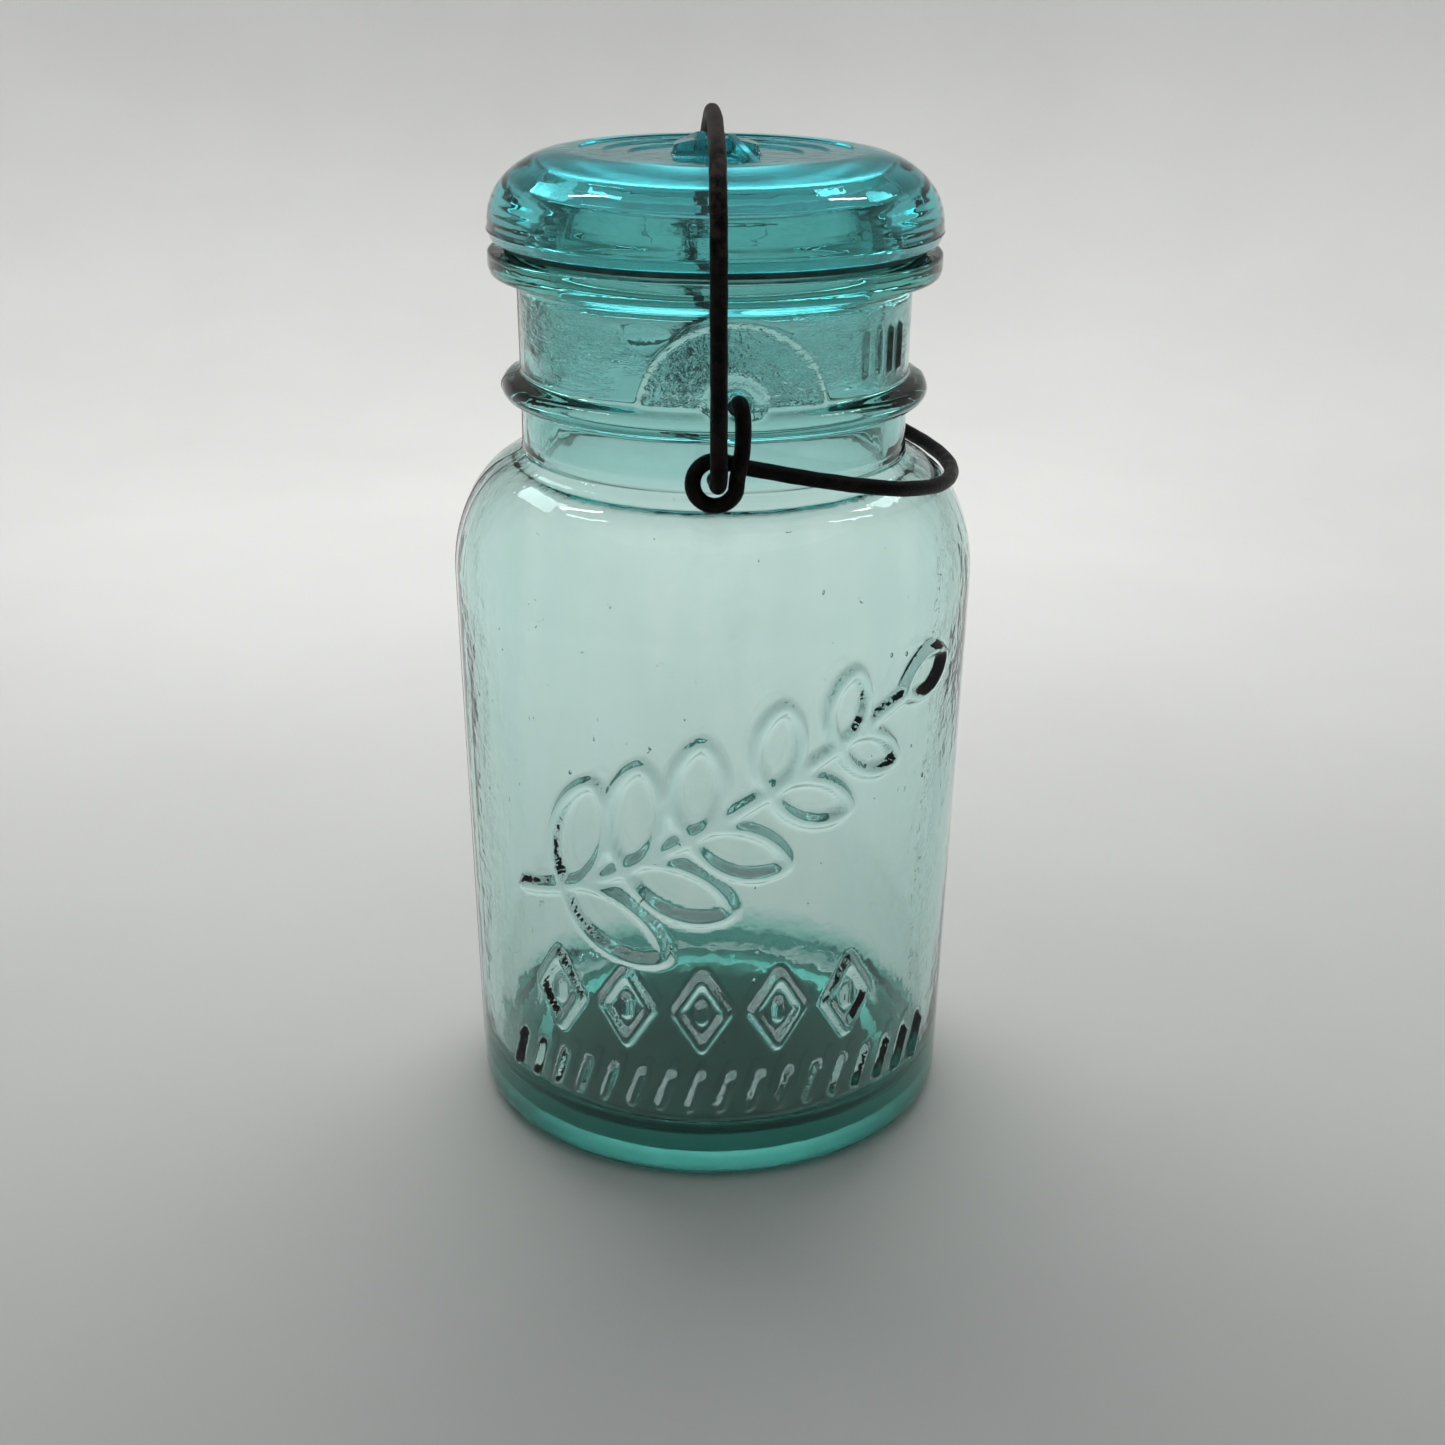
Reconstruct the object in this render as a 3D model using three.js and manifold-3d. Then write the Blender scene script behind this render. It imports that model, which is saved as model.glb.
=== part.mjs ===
// Bail clamp jar: a glass jar whose glass lid is held down by a wire bail and an over-centre wire lever.
// Millimetres, +Z up, origin on the jar's axis at the surface it stands on.
// The lever's pivots lie front and back, along Y, and its handle is on the +X side.

import * as THREE from 'three';
import { mergeVertices } from 'three/addons/utils/BufferGeometryUtils.js';
import Module from 'manifold-3d';

const wasm = await Module();
wasm.setup();

// Jar body
const ROUND_SIDES = 56;
const BEARING_INNER_R = 36.5;
const BEARING_OUTER_R = 41.8;
const HEEL_R = 4;
const WALL_LOW_R = 45.8;
const WALL_TOP_R = 48;
const WALL_TOP_Z = 106;
const WALL = 3.2;
const PUSH_UP = 1.6;
const FLOOR_Z = 6.4;
const SHOULDER_CENTRE_R = 34;
const SHOULDER_RISE = 22;
const NECK_FOOT_Z = 129.4;
const NECK_LOW_R = 34.8;
const NECK_TOP_R = 35.2;
const NECK_BORE_R = 31.4;
const BEAD_R = 38.5;
const BEAD_Z = 140.4;
const BEAD_HALF = 2.1;
const FLANGE_R = 40.4;
const FLANGE_LOW_Z = 160.4;
const SEAT_Z = 164.6;
const LIP_OUTER_R = 32.4;
const MOUTH_R = 28.8;
const LIP_TOP_Z = 173.4;

// Round pads on the neck, with the sockets that hold the lever
const PIVOT_Z = 144.2;
const PAD_R = 16;
const PAD_CENTRE_Z = 141.6;
const PAD_FACE_R = 35.9;
const KNOB_R = 5.4;
const KNOB_CENTRE_Z = 143.2;
const KNOB_FACE_Y = 38.3;
const SOCKET_R = 1.75;
const SOCKET_FLOOR_Y = 35;
const SOCKET_MOUTH_R = 3.1;
const SOCKET_CONE_DEPTH = 1.6;

// Sealing ring and lid
const SEAT_GAP = 0.3;
const RING_INNER_R = 33.2;
const RING_OUTER_R = 37.4;
const RING_THICKNESS = 0.8;
const LID_FOOT_Z = SEAT_Z + RING_THICKNESS + 2 * SEAT_GAP;
const LID_FOOT_R = 38.5;
const LID_R = 40.5;
const LID_SEAM_Z = 168.2;
const LID_BORE_R = 33.8;
const LID_BORE_TOP_Z = 174.4;
const LID_CEILING_Z = 177;
const LID_CEILING_R = 29;
const PLATEAU_R = 25.6;
const PLATEAU_Z = 181.5;
const PLATEAU_STEP = 0.35;
const STEP_RADII = [24.4, 20, 15.6];
const BOSS_LENGTH = 15;
const BOSS_WIDTH = 5.6;
const BOSS_TOP_Z = 183.4;
const GUIDE_START = new THREE.Vector2(1.5, -2.2);
const GUIDE_END = new THREE.Vector2(4.9, -19);
const GUIDE_WIDTH = 1.8;
const GUIDE_CREST_Z = 184.2;

// Wires
const LEVER_WIRE_R = 1.35;
const BAIL_WIRE_R = 1.43;
const WIRE_SIDES = 8;
const EYE_CENTRE = new THREE.Vector2(-4, 132.7);
const EYE_R = 3.55;
const LEVER_LEG_Y = 44.3;
const HANDLE_START_Y = 41.2;
const SOCKET_END_Y = 35.5;
const HANDLE_TIP_X = 43.6;
const HANDLE_TIP_Z = 125;
const HANDLE_BELLY_Y = 40.4;
const HOOK_AXIS = new THREE.Vector2(-3.7, 133.05);
const HOOK_TIP_Y = 39.8;
const HOOK_BEND_R = 2.4;
const BAIL_LEG_Y = 47.4;
const BAIL_REACH = 53.35;
const BAIL_CORNER_R = 14;
const BAIL_CORNER_RISE = 37.7;
const BAIL_LEAN = THREE.MathUtils.degToRad(3.7);
const BAIL_TWIST = THREE.MathUtils.degToRad(4.7);
const LEVER_STEPS = 150;
const BAIL_STEPS = 130;

const glass = { color: 0x7fbfb4, roughness: 0.06, metalness: 0, transparent: true, opacity: 0.5 };
const deepGlass = { color: 0x4fa39d, roughness: 0.06, metalness: 0, transparent: true, opacity: 0.55 };
const rubber = { color: 0x2b2622, roughness: 0.85, metalness: 0 };
const agedWire = { color: 0x2a2622, roughness: 0.55, metalness: 0.85 };

/** Points of a circular arc in the plane of a profile, from one angle to another, in degrees. */
function arc(centreR, centreZ, radius, fromDegrees, toDegrees, count) {
  const points = [];
  for (let i = 0; i <= count; i += 1) {
    const angle = THREE.MathUtils.degToRad(fromDegrees + (toDegrees - fromDegrees) * (i / count));
    points.push(new THREE.Vector2(centreR + radius * Math.cos(angle), centreZ + radius * Math.sin(angle)));
  }
  return points;
}

/** A quarter of an ellipse from its side (0) towards its top (1), for shoulders and domes. */
function ellipse(centreR, centreZ, halfWidth, rise, toTurn, count) {
  const points = [];
  for (let i = 0; i <= count; i += 1) {
    const angle = (Math.PI / 2) * toTurn * (i / count);
    points.push(new THREE.Vector2(centreR + halfWidth * Math.cos(angle), centreZ + rise * Math.sin(angle)));
  }
  return points;
}

/** Turns a profile of (radius, height) points about Z and gives a solid. */
function turned(profile, sides = ROUND_SIDES) {
  const geometry = new THREE.LatheGeometry(profile, sides);
  geometry.rotateX(Math.PI / 2);
  return solid(geometry);
}

/** Makes a manifold solid from a closed geometry. */
function solid(geometry) {
  const bare = geometry.index ? geometry.toNonIndexed() : geometry.clone();
  bare.deleteAttribute('normal');
  bare.deleteAttribute('uv');
  const merged = mergeVertices(bare, 1e-4);
  const raw = merged.index.array;
  const triangles = [];
  for (let i = 0; i < raw.length; i += 3) {
    const [a, b, c] = [raw[i], raw[i + 1], raw[i + 2]];
    if (a !== b && b !== c && c !== a) {
      triangles.push(a, b, c);
    }
  }
  const body = new wasm.Manifold(new wasm.Mesh({
    numProp: 3,
    vertProperties: new Float32Array(merged.attributes.position.array),
    triVerts: new Uint32Array(triangles),
  }));
  if (body.volume() > 0) {
    return body;
  }
  for (let i = 0; i < triangles.length; i += 3) {
    [triangles[i + 1], triangles[i + 2]] = [triangles[i + 2], triangles[i + 1]];
  }
  return new wasm.Manifold(new wasm.Mesh({
    numProp: 3,
    vertProperties: new Float32Array(merged.attributes.position.array),
    triVerts: new Uint32Array(triangles),
  }));
}

/** A named mesh from a manifold solid. */
function part(name, body, finish) {
  const raw = body.getMesh();
  const geometry = new THREE.BufferGeometry();
  geometry.setAttribute('position', new THREE.BufferAttribute(new Float32Array(raw.vertProperties), 3));
  geometry.setIndex(new THREE.BufferAttribute(new Uint32Array(raw.triVerts), 1));
  geometry.computeVertexNormals();
  const mesh = new THREE.Mesh(geometry, new THREE.MeshStandardMaterial(finish));
  mesh.name = name;
  return mesh;
}

/** A solid turned about a line along Y, from (radius, distance out) points, on the front or the back. */
function turnedAlongY(profile, centreZ, side, sides) {
  const geometry = new THREE.LatheGeometry(profile, sides);
  if (side < 0) {
    geometry.rotateX(Math.PI);
  }
  geometry.translate(0, 0, centreZ);
  return solid(geometry);
}

/** The half-round pad, the knob on it and the countersunk socket, on one side of the neck. */
function neckFitting(side) {
  const disc = turnedAlongY([
    new THREE.Vector2(0, 30),
    new THREE.Vector2(PAD_R, 30),
    new THREE.Vector2(PAD_R, 40),
    new THREE.Vector2(0, 40),
  ], PAD_CENTRE_Z, side, 40);
  const shell = turned([
    new THREE.Vector2(NECK_BORE_R + 1, BEAD_Z),
    new THREE.Vector2(PAD_FACE_R, BEAD_Z),
    new THREE.Vector2(PAD_FACE_R, PAD_CENTRE_Z + PAD_R + 1),
    new THREE.Vector2(NECK_BORE_R + 1, PAD_CENTRE_Z + PAD_R + 1),
    new THREE.Vector2(NECK_BORE_R + 1, BEAD_Z),
  ]);
  const knob = turnedAlongY([
    new THREE.Vector2(0, NECK_BORE_R + 1.6),
    new THREE.Vector2(KNOB_R, NECK_BORE_R + 1.6),
    new THREE.Vector2(KNOB_R, KNOB_FACE_Y - 2.4),
    new THREE.Vector2(KNOB_R * 0.9, KNOB_FACE_Y - 1),
    new THREE.Vector2(KNOB_R * 0.66, KNOB_FACE_Y),
    new THREE.Vector2(0, KNOB_FACE_Y),
  ], KNOB_CENTRE_Z, side, 24);
  return disc.intersect(shell).add(knob);
}

/** The countersunk hole that takes the lever's end, on one side of the neck. */
function socket(side) {
  return turnedAlongY([
    new THREE.Vector2(0, SOCKET_FLOOR_Y),
    new THREE.Vector2(SOCKET_R, SOCKET_FLOOR_Y),
    new THREE.Vector2(SOCKET_R, KNOB_FACE_Y - SOCKET_CONE_DEPTH),
    new THREE.Vector2(SOCKET_MOUTH_R, KNOB_FACE_Y + 0.4),
    new THREE.Vector2(SOCKET_MOUTH_R, KNOB_FACE_Y + 3),
    new THREE.Vector2(0, KNOB_FACE_Y + 3),
  ], PIVOT_Z, side, 20);
}

/** The jar: base with a push-up, tapering wall, shoulder, neck, bead, flange and lip, hollow and open. */
function jarBody() {
  const shoulderHalf = WALL_TOP_R - SHOULDER_CENTRE_R;
  const outside = [
    new THREE.Vector2(0, PUSH_UP),
    new THREE.Vector2(BEARING_INNER_R - 4, PUSH_UP),
    new THREE.Vector2(BEARING_INNER_R, 0),
    new THREE.Vector2(BEARING_OUTER_R, 0),
    ...arc(BEARING_OUTER_R, HEEL_R, HEEL_R, -60, 0, 3),
    ...ellipse(SHOULDER_CENTRE_R, WALL_TOP_Z, shoulderHalf, SHOULDER_RISE, 0.88, 9),
    new THREE.Vector2(NECK_LOW_R + 0.5, NECK_FOOT_Z - 0.9),
    new THREE.Vector2(NECK_LOW_R, NECK_FOOT_Z),
    new THREE.Vector2(NECK_LOW_R + 0.1, BEAD_Z - BEAD_HALF - 0.4),
    new THREE.Vector2(BEAD_R - 0.7, BEAD_Z - BEAD_HALF + 0.4),
    new THREE.Vector2(BEAD_R, BEAD_Z),
    new THREE.Vector2(BEAD_R - 0.8, BEAD_Z + BEAD_HALF - 0.4),
    new THREE.Vector2(NECK_LOW_R + 0.15, BEAD_Z + BEAD_HALF + 0.2),
    new THREE.Vector2(NECK_TOP_R, FLANGE_LOW_Z - 1.2),
    new THREE.Vector2(FLANGE_R - 0.8, FLANGE_LOW_Z),
    new THREE.Vector2(FLANGE_R, FLANGE_LOW_Z + 0.9),
    new THREE.Vector2(FLANGE_R, SEAT_Z - 0.5),
    new THREE.Vector2(FLANGE_R - 0.5, SEAT_Z),
    new THREE.Vector2(LIP_OUTER_R, SEAT_Z),
    new THREE.Vector2(LIP_OUTER_R, LIP_TOP_Z - 1.2),
    new THREE.Vector2(LIP_OUTER_R - 1.2, LIP_TOP_Z),
  ];
  const inside = [
    new THREE.Vector2(MOUTH_R + 1, LIP_TOP_Z),
    new THREE.Vector2(MOUTH_R, LIP_TOP_Z - 1),
    new THREE.Vector2(MOUTH_R, SEAT_Z - 3),
    new THREE.Vector2(NECK_BORE_R, SEAT_Z - 7),
    new THREE.Vector2(NECK_BORE_R, NECK_FOOT_Z - 1),
    ...ellipse(SHOULDER_CENTRE_R, WALL_TOP_Z, shoulderHalf - WALL, SHOULDER_RISE - WALL, 0.98, 7).reverse(),
    ...arc(WALL_LOW_R - WALL - 8, FLOOR_Z + 8, 8, 0, -90, 4),
    new THREE.Vector2(0, FLOOR_Z - 0.4),
  ];
  let glassBody = turned([...outside, ...inside]);
  for (const side of [1, -1]) {
    glassBody = glassBody.add(neckFitting(side));
  }
  for (const side of [1, -1]) {
    glassBody = glassBody.subtract(socket(side));
  }
  return glassBody;
}

/** The bar, square to the bail's top, and the two guide ridges that keep the bail on the lid's middle. */
function lidBoss() {
  const corner = 0.9;
  const outline = new THREE.Shape();
  const halfLength = BOSS_LENGTH / 2;
  const halfWidth = BOSS_WIDTH / 2;
  outline.moveTo(-halfLength + corner, -halfWidth);
  outline.lineTo(halfLength - corner, -halfWidth);
  outline.quadraticCurveTo(halfLength, -halfWidth, halfLength, -halfWidth + corner);
  outline.lineTo(halfLength, halfWidth - corner);
  outline.quadraticCurveTo(halfLength, halfWidth, halfLength - corner, halfWidth);
  outline.lineTo(-halfLength + corner, halfWidth);
  outline.quadraticCurveTo(-halfLength, halfWidth, -halfLength, halfWidth - corner);
  outline.lineTo(-halfLength, -halfWidth + corner);
  outline.quadraticCurveTo(-halfLength, -halfWidth, -halfLength + corner, -halfWidth);
  const footZ = PLATEAU_Z - 3;
  const barGeometry = new THREE.ExtrudeGeometry(outline, {
    depth: BOSS_TOP_Z - footZ,
    bevelEnabled: false,
    curveSegments: 3,
  });
  barGeometry.translate(0, 0, footZ);
  barGeometry.rotateZ(-BAIL_TWIST);
  let boss = solid(barGeometry);

  const run = GUIDE_START.distanceTo(GUIDE_END);
  const wedge = new THREE.Shape();
  wedge.moveTo(0, footZ);
  wedge.lineTo(run, footZ);
  wedge.lineTo(run, PLATEAU_Z - 2 * PLATEAU_STEP);
  wedge.lineTo(0, GUIDE_CREST_Z);
  wedge.lineTo(0, footZ);
  for (const turn of [0, Math.PI]) {
    const ridge = new THREE.ExtrudeGeometry(wedge, { depth: GUIDE_WIDTH, bevelEnabled: false });
    ridge.rotateX(Math.PI / 2);
    ridge.rotateZ(Math.atan2(GUIDE_END.y - GUIDE_START.y, GUIDE_END.x - GUIDE_START.x));
    ridge.translate(GUIDE_START.x, GUIDE_START.y, 0);
    ridge.rotateZ(turn);
    boss = boss.add(solid(ridge));
  }
  return boss;
}

/** The lid: a thick-walled glass cap with a rounded edge, stepped rings on top and a hollow underside. */
function glassLid() {
  const domeHalf = LID_R - PLATEAU_R;
  const outside = [
    new THREE.Vector2(LID_FOOT_R, LID_FOOT_Z),
    new THREE.Vector2(LID_R - 0.5, LID_FOOT_Z + 0.6),
    new THREE.Vector2(LID_R, LID_SEAM_Z),
    ...ellipse(PLATEAU_R, LID_SEAM_Z + 1.2, domeHalf - 0.2, PLATEAU_Z - LID_SEAM_Z - 1.2, 1, 9),
  ];
  let height = PLATEAU_Z;
  for (const radius of STEP_RADII) {
    outside.push(new THREE.Vector2(radius, height));
    height -= PLATEAU_STEP;
    outside.push(new THREE.Vector2(radius - PLATEAU_STEP, height));
  }
  outside.push(new THREE.Vector2(0, height));
  const underside = [
    new THREE.Vector2(0, LID_CEILING_Z),
    new THREE.Vector2(LID_CEILING_R, LID_CEILING_Z),
    new THREE.Vector2(LID_BORE_R - 1.4, LID_BORE_TOP_Z + 1),
    new THREE.Vector2(LID_BORE_R, LID_BORE_TOP_Z - 1),
    new THREE.Vector2(LID_BORE_R, LID_FOOT_Z),
    new THREE.Vector2(LID_FOOT_R, LID_FOOT_Z),
  ];
  return turned([...outside, ...underside]).add(lidBoss());
}

/** The flat rubber ring between the jar's flange and the lid. */
function sealingRing() {
  const low = SEAT_Z + SEAT_GAP;
  const high = low + RING_THICKNESS;
  return turned([
    new THREE.Vector2(RING_INNER_R, low),
    new THREE.Vector2(RING_OUTER_R, low),
    new THREE.Vector2(RING_OUTER_R, high),
    new THREE.Vector2(RING_INNER_R, high),
    new THREE.Vector2(RING_INNER_R, low),
  ]);
}

/** A round wire along a list of points. */
function wire(points, radius, steps) {
  const section = new THREE.Shape();
  for (let i = 0; i < WIRE_SIDES; i += 1) {
    const angle = (2 * Math.PI * i) / WIRE_SIDES;
    const corner = new THREE.Vector2(radius * Math.cos(angle), radius * Math.sin(angle));
    if (i === 0) {
      section.moveTo(corner.x, corner.y);
    } else {
      section.lineTo(corner.x, corner.y);
    }
  }
  section.closePath();
  const path = new THREE.CatmullRomCurve3(points);
  return solid(new THREE.ExtrudeGeometry(section, { extrudePath: path, steps }));
}

/** The same points with Y turned round, from the last to the first. */
function mirrored(points) {
  return points.map((point) => new THREE.Vector3(point.x, -point.y, point.z)).reverse();
}

/** The lever's front half: socket end, crown, leg, eye and one side of the handle. */
function leverHalf() {
  const points = [
    new THREE.Vector3(0, -SOCKET_END_Y, PIVOT_Z),
    new THREE.Vector3(0, -38.4, PIVOT_Z),
    new THREE.Vector3(0, -40.6, PIVOT_Z + 0.9),
    new THREE.Vector3(0, -42.6, PIVOT_Z + 1.8),
    new THREE.Vector3(0.25, -LEVER_LEG_Y, PIVOT_Z + 0.7),
    new THREE.Vector3(0.5, -LEVER_LEG_Y, PIVOT_Z - 2),
    new THREE.Vector3(0.4, -LEVER_LEG_Y, PIVOT_Z - 5.4),
    new THREE.Vector3(-0.1, -LEVER_LEG_Y, PIVOT_Z - 8.6),
  ];
  const turns = 9;
  for (let i = 0; i <= turns; i += 1) {
    const angle = THREE.MathUtils.degToRad(10 - 280 * (i / turns));
    const depth = LEVER_LEG_Y - (LEVER_LEG_Y - HANDLE_START_Y) * (i / turns);
    points.push(new THREE.Vector3(
      EYE_CENTRE.x + EYE_R * Math.cos(angle),
      -depth,
      EYE_CENTRE.y + EYE_R * Math.sin(angle),
    ));
  }
  const startX = EYE_CENTRE.x;
  const startZ = EYE_CENTRE.y + EYE_R;
  const bends = [
    new THREE.Vector2(2, HANDLE_START_Y - 0.1),
    new THREE.Vector2(10.5, HANDLE_BELLY_Y - 0.7),
    new THREE.Vector2(20.5, 36.7),
    new THREE.Vector2(29, 32.2),
    new THREE.Vector2(37, 23.4),
    new THREE.Vector2(42, 11.6),
  ];
  for (const bend of bends) {
    const share = (bend.x - startX) / (HANDLE_TIP_X - startX);
    points.push(new THREE.Vector3(bend.x, -bend.y, startZ + (HANDLE_TIP_Z - startZ) * share));
  }
  return points;
}

/** The lever: two halves joined at the tip of the handle. */
function leverWire() {
  const half = leverHalf();
  const tip = new THREE.Vector3(HANDLE_TIP_X, 0, HANDLE_TIP_Z);
  return wire([...half, tip, ...mirrored(half)], LEVER_WIRE_R, LEVER_STEPS);
}

/** A point of the bail, from its place along Y and its rise: it leans, and twists a little near its top. */
function onBail(y, rise) {
  const x = HOOK_AXIS.x + rise * Math.sin(BAIL_LEAN) + y * Math.tan(BAIL_TWIST) * (rise / BAIL_REACH);
  return new THREE.Vector3(x, y, HOOK_AXIS.y + rise * Math.cos(BAIL_LEAN));
}

/** The bail: hooks in the lever's eyes, straight legs, rounded corners and a slightly arched top. */
function bailWire() {
  const bends = [[HOOK_TIP_Y, 0], [BAIL_LEG_Y - HOOK_BEND_R - 1, 0]];
  for (const degrees of [0, 30, 60, 90]) {
    const angle = THREE.MathUtils.degToRad(degrees);
    const out = BAIL_LEG_Y - HOOK_BEND_R + HOOK_BEND_R * Math.sin(angle);
    bends.push([out, HOOK_BEND_R - HOOK_BEND_R * Math.cos(angle)]);
  }
  bends.push([BAIL_LEG_Y, 14], [BAIL_LEG_Y, 26]);
  for (const degrees of [0, 22.5, 45, 67.5, 85]) {
    const angle = THREE.MathUtils.degToRad(degrees);
    const out = BAIL_LEG_Y - BAIL_CORNER_R + BAIL_CORNER_R * Math.cos(angle);
    bends.push([out, BAIL_CORNER_RISE + BAIL_CORNER_R * Math.sin(angle)]);
  }
  bends.push([17, BAIL_REACH - 0.5]);
  const front = bends.map(([out, rise]) => onBail(-out, rise));
  const back = bends.map(([out, rise]) => onBail(out, rise)).reverse();
  return wire([...front, onBail(0, BAIL_REACH), ...back], BAIL_WIRE_R, BAIL_STEPS);
}

const jar = new THREE.Group();
jar.add(part('jar_body', jarBody(), glass));
jar.add(part('sealing_ring', sealingRing(), rubber));
jar.add(part('glass_lid', glassLid(), deepGlass));
jar.add(part('bail_wire', bailWire(), agedWire));
jar.add(part('lever_wire', leverWire(), agedWire));

export default jar;
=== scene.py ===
"""Looks of a bail clamp jar: pressed glass jar and lid, rubber sealing ring, and two aged steel wires.

Metres, +Z up, origin on the jar's axis at the surface it stands on. The lever's pivots lie front and back,
along Y, and its handle is on the +X side. Angles round the jar run from the front (-Y) towards +X.
"""

import logging
import math
from collections.abc import Callable, Sequence
from dataclasses import dataclass, field
from enum import Enum

import bpy
import numpy as np
from mathutils import Matrix, Vector


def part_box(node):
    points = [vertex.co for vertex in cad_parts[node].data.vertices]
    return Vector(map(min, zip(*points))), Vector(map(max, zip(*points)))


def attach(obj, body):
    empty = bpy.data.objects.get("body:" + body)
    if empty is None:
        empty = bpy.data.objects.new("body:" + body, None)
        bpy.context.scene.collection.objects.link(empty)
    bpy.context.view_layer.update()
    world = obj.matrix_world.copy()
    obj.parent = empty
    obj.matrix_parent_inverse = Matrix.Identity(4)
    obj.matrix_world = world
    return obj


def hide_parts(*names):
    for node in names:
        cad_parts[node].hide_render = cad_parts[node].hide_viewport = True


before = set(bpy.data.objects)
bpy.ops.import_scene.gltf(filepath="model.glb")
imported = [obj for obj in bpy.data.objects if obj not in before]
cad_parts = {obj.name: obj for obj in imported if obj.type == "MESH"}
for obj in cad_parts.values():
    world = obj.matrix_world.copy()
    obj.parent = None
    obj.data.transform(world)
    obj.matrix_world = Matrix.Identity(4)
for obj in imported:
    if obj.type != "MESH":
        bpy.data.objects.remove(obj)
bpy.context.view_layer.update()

MM = 0.001
Pair = tuple[float, float]
Triple = tuple[float, float, float]
Zone = tuple[float, float, float, float]
Colour = Triple
log = logging.getLogger("jar")


class Body(Enum):
    """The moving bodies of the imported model."""

    JAR = "jar"
    LID = "lid"
    LEVER = "lever"
    BAIL = "bail"


# ---- Outlines and fields ----


def blend(low: float, high: float, value: np.ndarray) -> np.ndarray:
    """Rises from 0 at low to 1 at high along the cubic 3t^2 - 2t^3, and falls where low is above high.

    Args:
        low: Where the result is 0.
        high: Where the result is 1.
        value: Numbers to judge.

    Returns:
        Shares from 0 to 1.
    """
    t = np.clip((value - low) / (high - low), 0, 1)
    return t * t * (3 - 2 * t)


def within(zone: Zone, value: np.ndarray) -> np.ndarray:
    """1 inside a zone, blended to 0 at its ends; a zone is (0 up to, 1 from, 1 up to, 0 from).

    Args:
        zone: The four limits.
        value: Numbers to judge.

    Returns:
        Shares from 0 to 1.
    """
    low, full_from, full_to, high = zone
    return blend(low, full_from, value) * blend(high, full_to, value)


def rounded(corners: Sequence[Triple], steps: int = 6) -> np.ndarray:
    """An outline through corners, each one rounded off.

    A corner P becomes the curve (1-t)^2 A + 2t(1-t) P + t^2 B. A and B lie on its two legs, as far from P as
    the corner's radius times the tangent of half the turn.

    Args:
        corners: (radius from the axis, height, corner radius) in millimetres.
        steps: Points on each corner.

    Returns:
        (n, 2) points in metres, with no two alike in a row.
    """
    table = np.array(corners, float) * MM
    points, radii = table[:, :2], table[1:-1, 2]
    legs = np.diff(points, axis=0)
    reach = np.linalg.norm(legs, axis=1)
    legs = legs / reach[:, None]
    into, out, corner = legs[:-1], legs[1:], points[1:-1]
    turn = np.arccos(np.clip((into * out).sum(1), -1, 1))
    cut = np.minimum(radii * np.tan(turn / 2), 0.46 * np.minimum(reach[:-1], reach[1:]))[:, None]
    t = np.linspace(0, 1, steps)[None, :, None]
    start, middle, end = (corner - into * cut)[:, None], corner[:, None], (corner + out * cut)[:, None]
    curves = (1 - t) ** 2 * start + 2 * t * (1 - t) * middle + t**2 * end
    line = np.vstack([points[:1], curves.reshape(-1, 2), points[-1:]])
    apart = np.linalg.norm(np.diff(line, axis=0), axis=1) > 1e-6
    return line[np.concatenate([[True], apart])]


def quarter(centre: Pair, half: Pair, turns: Pair, count: int) -> np.ndarray:
    """A stretch of an ellipse: centre + (half width * cos, rise * sin) of the turn.

    Args:
        centre: Radius and height of its centre, in millimetres.
        half: Half width and rise, in millimetres.
        turns: First and last turn, in quarters of a circle.
        count: Points on it.

    Returns:
        (count, 2) points in metres.
    """
    angle = np.linspace(turns[0], turns[1], count) * math.pi / 2
    return np.stack([centre[0] + half[0] * np.cos(angle), centre[1] + half[1] * np.sin(angle)], 1) * MM


def subdivided(line: np.ndarray, step: Callable[[np.ndarray], np.ndarray]) -> np.ndarray:
    """A line with points added, evenly in each stretch, so that none is longer than its step.

    Args:
        line: (n, 2) points.
        step: Gives the longest stretch allowed at each of (m, 2) points.

    Returns:
        The denser line.
    """
    reach = np.linalg.norm(np.diff(line, axis=0), axis=1)
    pieces = np.maximum(1, np.ceil(reach / step((line[1:] + line[:-1]) / 2))).astype(int)
    which = np.repeat(np.arange(len(pieces)), pieces)
    first = np.repeat(np.cumsum(pieces) - pieces, pieces)
    share = ((np.arange(pieces.sum()) - first) / pieces[which])[:, None]
    return np.vstack([line[which] * (1 - share) + line[which + 1] * share, line[-1:]])


def stations(bands: Sequence[Pair]) -> np.ndarray:
    """Angles round a turned piece, close together where the surface has detail.

    Args:
        bands: (end of the band, step in it) in degrees, in order from -180.

    Returns:
        Angles in radians, from -180 degrees up to but not at 180.
    """
    line, start = [], -180.0
    for end, step in bands:
        count = max(1, round((end - start) / step))
        line.append(np.linspace(start, end, count, endpoint=False))
        start = end
    return np.radians(np.concatenate(line))


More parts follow.
